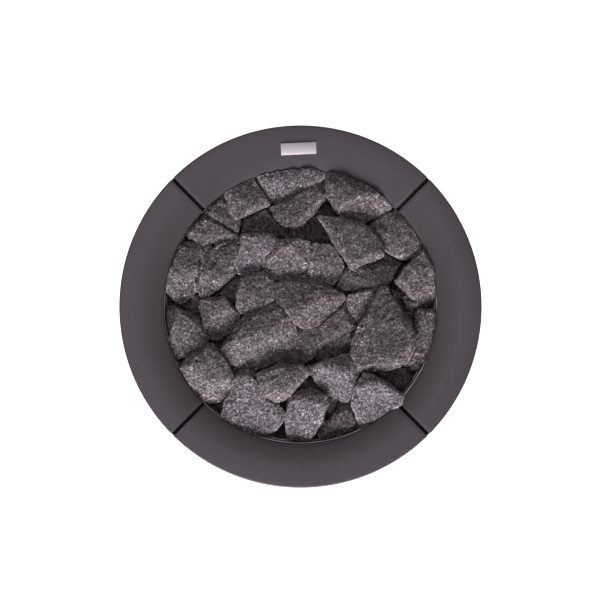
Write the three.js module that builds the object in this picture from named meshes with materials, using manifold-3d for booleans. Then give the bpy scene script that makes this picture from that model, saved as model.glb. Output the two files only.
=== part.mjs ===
// A round, floor-standing electric sauna heater filled with split stones.
// Millimetres, +Z up, the origin at the centre of the floor circle, the controls on the -Y side.
import * as THREE from 'three'
import { ConvexGeometry } from 'three/addons/geometries/ConvexGeometry.js'
import { mergeVertices } from 'three/addons/utils/BufferGeometryUtils.js'
import Module from 'manifold-3d'

const wasm = await Module()
wasm.setup()

const QUARTER = Math.PI / 2
const CLEARANCE = 0.4
const OVERLAP = 5

// Casing: four quarter panels of bent sheet, each a wall with an inward collar.
const RIM_RADIUS = 240
const RIM_HEIGHT = 700
const LIP_RADIUS = 182.5
const LIP_DROP = 10
const LIP_FLANGE = 6
const RIM_BEND = 5
const SHEET = 1.5
const PANEL_GAP = 4.5
const CASING_BOTTOM = 45
const ROUND_STEPS = 64
const COLLAR_STEPS = 4
const BEND_STEPS = 3
const GAP_ANGLE = QUARTER / 2
const LIP_HEIGHT = RIM_HEIGHT - LIP_DROP
const COLLAR_WIDTH = RIM_RADIUS - RIM_BEND - LIP_RADIUS

// Frame: a base plate, and a post behind each gap.
const POST_WIDTH = 30
const POST_SHEET = 2
const POST_BOTTOM = 43.4
const BASE_HEIGHT = 40
const BASE_SHEET = 3
const BASE_RADIUS = 236
const BASE_HOLE_RADIUS = 90
const BASE_STEPS = 48

// Levelling feet: a pad, a collar that carries the base plate, and a stud.
const FOOT_CIRCLE = 200
const FOOT_PAD_RADIUS = 22
const FOOT_PAD_HEIGHT = 12
const FOOT_PAD_CHAMFER = 3
const FOOT_COLLAR_RADIUS = 9
const STUD_RADIUS = 5
const STUD_TOP = 64
const FOOT_STEPS = 16

// Stone cage: rings of wire on the inside of upright wires, in four quarters.
const WIRE_RADIUS = 2
const CAGE_RADIUS = 183
const CAGE_BOTTOM = 216
const CAGE_TOP = LIP_HEIGHT - 22
const CAGE_RINGS = 19
const CAGE_UPRIGHTS = 12
const CAGE_STEPS = 24
const CAGE_GAP = 1

// Grate under the stones.
const GRATE_HEIGHT = 208
const GRATE_RADIUS = CAGE_RADIUS + 6
const GRATE_RING_WIDTH = 12
const GRATE_RING_LOW = GRATE_HEIGHT - 4
const GRATE_RING_HIGH = GRATE_HEIGHT + 3.5
const GRATE_BARS = 8
const GRATE_PITCH = 40
const GRATE_BAR_HALF = 3
const GRATE_STEPS = 40

// Heat shield and element tray.
const SHIELD_RADIUS = 206
const SHIELD_SHEET = 1.2
const SHIELD_BOTTOM = 152
const SHIELD_TOP = 640
const SHIELD_STEPS = 48
const TRAY_BOTTOM = 148
const TRAY_SHEET = 2
const TRAY_RADIUS = 190
const TRAY_STEPS = 40

// Heating elements: three hairpins that stand in the stones.
const ELEMENTS = [1, 2, 3]
const ELEMENT_RADIUS = 4.1
const ELEMENT_SPACING = 92
const ELEMENT_HALF_WIDTH = 58
const ELEMENT_TOP = 590
const ELEMENT_BOTTOM = 132
const ELEMENT_STEPS = 22
const ELEMENT_SIDES = 6

// Control box in the foot of the front panel, with its fascia in front.
const NOTCH_HALF_WIDTH = 92
const NOTCH_TOP = 112
const NOTCH_BACK = -150
const FASCIA_FRONT = -214
const FASCIA_BACK = FASCIA_FRONT + 2
const BOX_HALF_WIDTH = 88
const BOX_BOTTOM = 47
const BOX_TOP = 108
const BOX_FRONT = FASCIA_BACK + CLEARANCE
const BOX_BACK = -116
const BOX_SHEET = 1.5
const SWITCH_FRONT = BOX_FRONT + 0.2
const CONTROL_HEIGHT = 78
const KNOB_X = 46
const KNOB_RADIUS = 18
const KNOB_BACK = FASCIA_FRONT - 0.6
const KNOB_FRONT = KNOB_BACK - 16
const KNOB_SKIRT = 5
const KNOB_STEPS = 24
const RIB_HALF_WIDTH = 2
const RIB_STAND = 1.5
const SHAFT_RADIUS = 3
const SHAFT_STAND = 10
const TIMER_BODY = { size: 42, depth: 44 }
const THERMOSTAT_BODY = { size: 38, depth: 36 }
const BUTTON_RADIUS = 4
const BUTTON_STEM_RADIUS = 2.6
const BUTTON_STAND = 3
const BUTTON_DEPTH = 5
const LIMITER = { halfWidth: 11, halfHeight: 13, setback: 6, depth: 30, wellDepth: 16 }
const TERMINALS = { left: -34, right: 26, front: -146, back: -128, top: 72 }
const GLAND_X = 54
const GLAND = { nutRadius: 15, nutDepth: 9, threadRadius: 10, boreRadius: 6, inside: 12, outside: 24 }

// Badge on the back of the collar: blank.
const BADGE = { width: 47, depth: 15.3, height: 1.2, radius: 209, x: -2.5, turn: 0.045, lift: 1.1 }

const COLOURS = {
  casing: { color: 0x5d5860, roughness: 0.5, metalness: 0.3 },
  black: { color: 0x151516, roughness: 0.6, metalness: 0.2 },
  steel: { color: 0xb9b8b6, roughness: 0.3, metalness: 1 },
  zinc: { color: 0x8f9194, roughness: 0.45, metalness: 1 },
  element: { color: 0x54504c, roughness: 0.5, metalness: 0.8 },
  stone: { color: 0x6f716e, roughness: 0.95, metalness: 0 },
  plastic: { color: 0x1b1b1c, roughness: 0.45, metalness: 0 },
  red: { color: 0xa3281f, roughness: 0.4, metalness: 0 },
}

const heater = new THREE.Group()

function place(name, geometry, finish) {
  const mesh = new THREE.Mesh(geometry, new THREE.MeshStandardMaterial(COLOURS[finish]))
  mesh.name = name
  heater.add(mesh)
  return mesh
}

// ---- closed meshes, and joins and cuts of them ----

function signedVolume(positions, index) {
  const a = new THREE.Vector3()
  const b = new THREE.Vector3()
  const c = new THREE.Vector3()
  let sum = 0
  for (let i = 0; i < index.length; i += 3) {
    a.fromBufferAttribute(positions, index[i])
    b.fromBufferAttribute(positions, index[i + 1])
    c.fromBufferAttribute(positions, index[i + 2])
    sum += a.dot(b.cross(c))
  }
  return sum / 6
}

// Shares the corners, drops triangles with no area and turns the faces out.
function closed(geometry) {
  const bare = new THREE.BufferGeometry()
  bare.setAttribute('position', geometry.getAttribute('position'))
  if (geometry.index) bare.setIndex(geometry.index)
  const merged = mergeVertices(bare, 1e-3)
  const index = []
  for (let i = 0; i < merged.index.count; i += 3) {
    const corner = [0, 1, 2].map((k) => merged.index.getX(i + k))
    if (new Set(corner).size === 3) index.push(...corner)
  }
  if (signedVolume(merged.getAttribute('position'), index) < 0) index.reverse()
  merged.setIndex(index)
  return merged
}

function solid(geometry) {
  const mesh = closed(geometry)
  const vertProperties = new Float32Array(mesh.getAttribute('position').array)
  const triVerts = new Uint32Array(mesh.index.array)
  return new wasm.Manifold(new wasm.Mesh({ numProp: 3, vertProperties, triVerts }))
}

function geometryOf(body) {
  const mesh = body.getMesh()
  const geometry = new THREE.BufferGeometry()
  geometry.setAttribute('position', new THREE.BufferAttribute(new Float32Array(mesh.vertProperties), 3))
  geometry.setIndex(new THREE.BufferAttribute(new Uint32Array(mesh.triVerts), 1))
  return geometry
}

const join = (first, ...rest) => geometryOf(rest.reduce((body, g) => body.add(solid(g)), solid(first)))
const cut = (first, ...rest) => geometryOf(rest.reduce((body, g) => body.subtract(solid(g)), solid(first)))
const common = (a, b) => geometryOf(solid(a).intersect(solid(b)))

// ---- plain shapes ----

// Turns an open [radius, height] line, or a closed outline, about Z.
function lathed(outline, steps) {
  const points = outline.map(([r, z]) => new THREE.Vector2(r, z))
  return closed(new THREE.LatheGeometry(points, steps).rotateX(QUARTER))
}

function turned(outline, steps = ROUND_STEPS) {
  return lathed([...outline, outline[0]], steps)
}

// A closed outline of a ring with a plain rectangular section.
function ringOutline(inner, outer, low, high) {
  return [[inner, low], [outer, low], [outer, high], [inner, high]]
}

function block(x0, x1, y0, y1, z0, z1) {
  const box = new THREE.BoxGeometry(x1 - x0, y1 - y0, z1 - z0)
  return box.translate((x0 + x1) / 2, (y0 + y1) / 2, (z0 + z1) / 2)
}

// A round bar along Z.
function bar(radius, from, to, x, y, steps = 12) {
  const body = new THREE.CylinderGeometry(radius, radius, to - from, steps).rotateX(QUARTER)
  return body.translate(x, y, (from + to) / 2)
}

// A round bar along Y.
function lyingBar(radius, from, to, x, z, steps = 16) {
  return new THREE.CylinderGeometry(radius, radius, to - from, steps).translate(x, (from + to) / 2, z)
}

// ---- casing and frame ----

// The collar falls from the rim to the lip in a parabola: part 0 is the lip and 1 the rim.
const collarHeight = (part) => RIM_HEIGHT - LIP_DROP * (1 - part) ** 2
const collarSlope = (part) => (2 * LIP_DROP * (1 - part)) / COLLAR_WIDTH

// The casing's outer line from lip to foot, moved inward by a distance and cut off at a radius.
function casingLine(inward, from, foot) {
  const line = []
  for (let i = 0; i <= COLLAR_STEPS; i += 1) {
    const part = i / COLLAR_STEPS
    const tilt = Math.hypot(1, collarSlope(part))
    const r = LIP_RADIUS + part * COLLAR_WIDTH + (inward * collarSlope(part)) / tilt
    line.push([Math.max(r, from), collarHeight(part) - inward / tilt])
  }
  const bend = RIM_BEND - inward
  for (let i = 1; i <= BEND_STEPS; i += 1) {
    const angle = (i / BEND_STEPS) * QUARTER
    const r = RIM_RADIUS - RIM_BEND + bend * Math.sin(angle)
    line.push([r, RIM_HEIGHT - RIM_BEND + bend * Math.cos(angle)])
  }
  line.push([RIM_RADIUS - inward, foot])
  return line
}

function casingShell() {
  const outer = casingLine(0, LIP_RADIUS, CASING_BOTTOM)
  const inner = casingLine(SHEET, LIP_RADIUS + SHEET, CASING_BOTTOM).reverse()
  const flangeFoot = LIP_HEIGHT - LIP_FLANGE
  const flange = [[LIP_RADIUS + SHEET, flangeFoot], [LIP_RADIUS, flangeFoot]]
  return turned([...outer, ...inner, ...flange])
}

// The space of one quarter, with half a gap left free along each of its two sides.
function quarterSpace(index, gap) {
  const reach = RIM_RADIUS + 20
  const box = block(gap / 2, reach, gap / 2, reach, 0, RIM_HEIGHT + 20)
  return box.rotateZ(GAP_ANGLE + index * QUARTER)
}

const SIDES = ['back', 'left', 'front', 'right']
const shell = casingShell()
SIDES.forEach((side, index) => {
  const whole = common(shell, quarterSpace(index, PANEL_GAP))
  const notch = block(-NOTCH_HALF_WIDTH, NOTCH_HALF_WIDTH, -RIM_RADIUS - OVERLAP, NOTCH_BACK, 0, NOTCH_TOP)
  place(`casing_panel_${side}`, side === 'front' ? cut(whole, notch) : whole, 'casing')
})

const CORNERS = ['back_right', 'back_left', 'front_left', 'front_right']
const cornerAngle = (index) => GAP_ANGLE + index * QUARTER
const postInset = SHEET + CLEARANCE
const postFrom = LIP_RADIUS + SHEET + 1
const postShell = turned([
  ...casingLine(postInset, postFrom, POST_BOTTOM),
  ...casingLine(postInset + POST_SHEET, postFrom, POST_BOTTOM).reverse(),
])
CORNERS.forEach((corner, index) => {
  const slab = block(LIP_RADIUS - OVERLAP, RIM_RADIUS, -POST_WIDTH / 2, POST_WIDTH / 2, 0, RIM_HEIGHT)
  place(`frame_post_${corner}`, common(postShell, slab.rotateZ(cornerAngle(index))), 'black')
})

function footPlace(index) {
  const angle = cornerAngle(index)
  return [FOOT_CIRCLE * Math.cos(angle), FOOT_CIRCLE * Math.sin(angle)]
}

function basePlate() {
  const top = BASE_HEIGHT + BASE_SHEET
  const plate = turned(ringOutline(BASE_HOLE_RADIUS, BASE_RADIUS, BASE_HEIGHT, top), BASE_STEPS)
  const holes = CORNERS.map((_, index) =>
    bar(STUD_RADIUS + CLEARANCE, BASE_HEIGHT - OVERLAP, top + OVERLAP, ...footPlace(index)))
  return cut(plate, ...holes)
}
place('base_plate', basePlate(), 'black')

const foot = lathed([
  [0, 0],
  [FOOT_PAD_RADIUS, 0],
  [FOOT_PAD_RADIUS, FOOT_PAD_HEIGHT - FOOT_PAD_CHAMFER],
  [FOOT_PAD_RADIUS - FOOT_PAD_CHAMFER, FOOT_PAD_HEIGHT],
  [FOOT_COLLAR_RADIUS, FOOT_PAD_HEIGHT],
  [FOOT_COLLAR_RADIUS, BASE_HEIGHT - CLEARANCE],
  [STUD_RADIUS, BASE_HEIGHT - CLEARANCE],
  [STUD_RADIUS, STUD_TOP],
  [0, STUD_TOP],
], FOOT_STEPS)
CORNERS.forEach((corner, index) => {
  place(`levelling_foot_${corner}`, foot, 'zinc').position.set(...footPlace(index), 0)
})

// ---- cage, grate, shield and tray ----

// A ring of square wire, its inner flats at the inside of the cage.
function wireRing(height) {
  const inner = (CAGE_RADIUS - WIRE_RADIUS) / Math.cos(Math.PI / CAGE_STEPS)
  const outer = inner + 2 * WIRE_RADIUS
  return turned(ringOutline(inner, outer, height - WIRE_RADIUS, height + WIRE_RADIUS), CAGE_STEPS)
}

function uprightWire(index) {
  const near = CAGE_RADIUS + WIRE_RADIUS / 2
  const wire = block(near, near + 2 * WIRE_RADIUS, -WIRE_RADIUS, WIRE_RADIUS, CAGE_BOTTOM - 4, CAGE_TOP + 3)
  return wire.rotateZ((index / CAGE_UPRIGHTS) * 2 * Math.PI)
}

function cage() {
  const wires = []
  for (let i = 0; i < CAGE_RINGS; i += 1) {
    wires.push(wireRing(CAGE_BOTTOM + (i / (CAGE_RINGS - 1)) * (CAGE_TOP - CAGE_BOTTOM)))
  }
  for (let i = 0; i < CAGE_UPRIGHTS; i += 1) wires.push(uprightWire(i))
  return join(...wires)
}
const wholeCage = cage()
SIDES.forEach((side, index) => {
  place(`stone_cage_${side}`, common(wholeCage, quarterSpace(index, CAGE_GAP)), 'steel')
})

function grate() {
  const inner = GRATE_RADIUS - GRATE_RING_WIDTH
  const ring = turned(ringOutline(inner, GRATE_RADIUS, GRATE_RING_LOW, GRATE_RING_HIGH), GRATE_STEPS)
  const reach = GRATE_RADIUS - GRATE_RING_WIDTH / 2
  const bars = []
  for (let i = 0; i < GRATE_BARS; i += 1) {
    const x = (i - (GRATE_BARS - 1) / 2) * GRATE_PITCH
    const half = Math.sqrt(reach ** 2 - x ** 2)
    const [left, right] = [x - GRATE_BAR_HALF, x + GRATE_BAR_HALF]
    const [low, high] = [GRATE_HEIGHT - GRATE_BAR_HALF, GRATE_HEIGHT + GRATE_BAR_HALF]
    bars.push(block(left, right, -half, half, low, high))
  }
  const brace = block(-reach, reach, 14, 14 + 2 * GRATE_BAR_HALF, GRATE_HEIGHT - 3.5, GRATE_HEIGHT + 2.5)
  return join(ring, ...bars, brace)
}
place('stone_grate', grate(), 'zinc')

const shieldOutline = ringOutline(SHIELD_RADIUS, SHIELD_RADIUS + SHIELD_SHEET, SHIELD_BOTTOM, SHIELD_TOP)
place('heat_shield', turned(shieldOutline, SHIELD_STEPS), 'zinc')

const elementX = (number) => (number - 2) * ELEMENT_SPACING

function tray() {
  const top = TRAY_BOTTOM + TRAY_SHEET
  const plate = bar(TRAY_RADIUS, TRAY_BOTTOM, top, 0, 0, TRAY_STEPS)
  const holes = []
  for (const number of ELEMENTS) {
    for (const y of [-ELEMENT_HALF_WIDTH, ELEMENT_HALF_WIDTH]) {
      const radius = ELEMENT_RADIUS + CLEARANCE
      holes.push(bar(radius, TRAY_BOTTOM - OVERLAP, top + OVERLAP, elementX(number), y, 10))
    }
  }
  return cut(plate, ...holes)
}
place('element_tray', tray(), 'zinc')

class HalfCircle extends THREE.Curve {
  constructor(radius, height) {
    super()
    this.radius = radius
    this.height = height
  }

  getPoint(t, target = new THREE.Vector3()) {
    const angle = Math.PI * (1 - t)
    return target.set(0, this.radius * Math.cos(angle), this.height + this.radius * Math.sin(angle))
  }
}

// One hairpin: up, over a half circle and down.
function hairpin() {
  const bend = ELEMENT_TOP - ELEMENT_HALF_WIDTH
  const at = (y, z) => new THREE.Vector3(0, y, z)
  const path = new THREE.CurvePath()
  path.add(new THREE.LineCurve3(at(-ELEMENT_HALF_WIDTH, ELEMENT_BOTTOM), at(-ELEMENT_HALF_WIDTH, bend)))
  path.add(new HalfCircle(ELEMENT_HALF_WIDTH, bend))
  path.add(new THREE.LineCurve3(at(ELEMENT_HALF_WIDTH, bend), at(ELEMENT_HALF_WIDTH, ELEMENT_BOTTOM)))
  return path
}

// A shape with straight sides, so that an extrusion keeps just these corners.
function polygon(radius, sides) {
  const corners = []
  for (let k = 0; k < sides; k += 1) {
    const angle = (k / sides) * 2 * Math.PI
    corners.push(new THREE.Vector2(radius * Math.cos(angle), radius * Math.sin(angle)))
  }
  return new THREE.Shape(corners)
}

const rod = closed(new THREE.ExtrudeGeometry(polygon(ELEMENT_RADIUS, ELEMENT_SIDES), {
  steps: ELEMENT_STEPS,
  extrudePath: hairpin(),
}))
for (const number of ELEMENTS) {
  place(`heating_element_${number}`, rod, 'element').position.x = elementX(number)
}

// ---- controls ----

function controlBox() {
  const whole = block(-BOX_HALF_WIDTH, BOX_HALF_WIDTH, BOX_FRONT, BOX_BACK, BOX_BOTTOM, BOX_TOP)
  const inside = block(
    -BOX_HALF_WIDTH + BOX_SHEET,
    BOX_HALF_WIDTH - BOX_SHEET,
    BOX_FRONT - OVERLAP,
    BOX_BACK - BOX_SHEET,
    BOX_BOTTOM + BOX_SHEET,
    BOX_TOP - BOX_SHEET,
  )
  const holeRadius = GLAND.threadRadius + CLEARANCE
  return cut(whole, inside, lyingBar(holeRadius, BOX_BACK - 6, BOX_BACK + 6, GLAND_X, CONTROL_HEIGHT))
}
place('control_box', controlBox(), 'zinc')

function fascia() {
  const plate = block(-BOX_HALF_WIDTH, BOX_HALF_WIDTH, FASCIA_FRONT, FASCIA_BACK, BOX_BOTTOM, BOX_TOP)
  const [from, to] = [FASCIA_FRONT - OVERLAP, FASCIA_BACK + OVERLAP]
  const hole = (radius, x) => lyingBar(radius, from, to, x, CONTROL_HEIGHT)
  const shaftHoles = [-KNOB_X, KNOB_X].map((x) => hole(SHAFT_RADIUS + 1, x))
  return cut(plate, ...shaftHoles, hole(BUTTON_RADIUS + 1, 0))
}
place('control_fascia', fascia(), 'black')

// A switch body with its shaft, which comes through the fascia.
function rotarySwitch(x, { size, depth }) {
  const half = size / 2
  const [low, high] = [CONTROL_HEIGHT - half, CONTROL_HEIGHT + half]
  const body = block(x - half, x + half, SWITCH_FRONT, SWITCH_FRONT + depth, low, high)
  const tip = FASCIA_FRONT - SHAFT_STAND
  const shaft = lyingBar(SHAFT_RADIUS, tip, SWITCH_FRONT + OVERLAP, x, CONTROL_HEIGHT, 12)
  return join(body, shaft)
}
place('timer_body', rotarySwitch(-KNOB_X, TIMER_BODY), 'plastic')
place('thermostat_body', rotarySwitch(KNOB_X, THERMOSTAT_BODY), 'plastic')

// A knob about the Y axis: a skirt, a tapered grip with a pointer rib, and a blind bore for its shaft.
function knob() {
  const skirtFront = KNOB_BACK - KNOB_SKIRT
  const skirt = lyingBar(KNOB_RADIUS, skirtFront, KNOB_BACK, 0, 0, KNOB_STEPS)
  const gripBack = skirtFront + 0.02
  const [wide, narrow] = [KNOB_RADIUS - 3, KNOB_RADIUS - 5]
  const grip = new THREE.CylinderGeometry(wide, narrow, gripBack - KNOB_FRONT, KNOB_STEPS)
  grip.translate(0, (KNOB_FRONT + gripBack) / 2, 0)
  const ribTop = KNOB_RADIUS - 1
  const rib = block(-RIB_HALF_WIDTH, RIB_HALF_WIDTH, KNOB_FRONT - RIB_STAND, skirtFront + 1, -3, ribTop)
  const boreEnd = FASCIA_FRONT - SHAFT_STAND - CLEARANCE - 0.6
  const bore = lyingBar(SHAFT_RADIUS + CLEARANCE, boreEnd, KNOB_BACK + OVERLAP, 0, 0, 12)
  return cut(join(skirt, grip, rib), bore)
}
place('timer_knob', knob(), 'plastic').position.set(-KNOB_X, 0, CONTROL_HEIGHT)
place('thermostat_knob', knob(), 'plastic').position.set(KNOB_X, 0, CONTROL_HEIGHT)

function limiter() {
  const { halfWidth, halfHeight, setback, depth, wellDepth } = LIMITER
  const front = SWITCH_FRONT + setback
  const [low, high] = [CONTROL_HEIGHT - halfHeight, CONTROL_HEIGHT + halfHeight]
  const body = block(-halfWidth, halfWidth, front, front + depth, low, high)
  const wellRadius = BUTTON_STEM_RADIUS + 2 * CLEARANCE
  return cut(body, lyingBar(wellRadius, SWITCH_FRONT, SWITCH_FRONT + wellDepth, 0, CONTROL_HEIGHT))
}
place('overheat_limiter', limiter(), 'plastic')

// The reset button: a cap in the fascia on a thin stem that runs in the limiter.
function resetButton() {
  const capBack = FASCIA_FRONT + BUTTON_DEPTH
  const cap = lyingBar(BUTTON_RADIUS, FASCIA_FRONT - BUTTON_STAND, capBack, 0, CONTROL_HEIGHT)
  const stem = lyingBar(BUTTON_STEM_RADIUS, capBack - 1, SWITCH_FRONT + 12, 0, CONTROL_HEIGHT, 12)
  return join(cap, stem)
}
place('reset_button', resetButton(), 'red')

function terminalBlock() {
  const { left, right, front, back, top } = TERMINALS
  return block(left, right, front, back, BOX_BOTTOM + BOX_SHEET + CLEARANCE, top)
}
place('terminal_block', terminalBlock(), 'plastic')

// The cable gland through the back of the box: a hexagon nut outside, and a bored thread.
function gland() {
  const nutBack = BOX_BACK + GLAND.nutDepth
  const nut = lyingBar(GLAND.nutRadius, BOX_BACK + CLEARANCE, nutBack, GLAND_X, CONTROL_HEIGHT, 6)
  const [from, to] = [BOX_BACK - GLAND.inside, BOX_BACK + GLAND.outside]
  const thread = lyingBar(GLAND.threadRadius, from, to, GLAND_X, CONTROL_HEIGHT)
  const bore = lyingBar(GLAND.boreRadius, from - OVERLAP, to + OVERLAP, GLAND_X, CONTROL_HEIGHT, 12)
  return cut(join(nut, thread), bore)
}
place('cable_gland', gland(), 'plastic')

// ---- badge ----

function badge() {
  const [w, d] = [BADGE.width / 2, BADGE.depth / 2]
  const part = (BADGE.radius - LIP_RADIUS) / COLLAR_WIDTH
  const plate = block(-w, w, -d, d, 0, BADGE.height)
  plate.rotateX(Math.atan(collarSlope(part))).rotateZ(BADGE.turn)
  return plate.translate(BADGE.x, BADGE.radius, collarHeight(part) + BADGE.lift)
}
place('badge_plate', badge(), 'steel')

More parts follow.
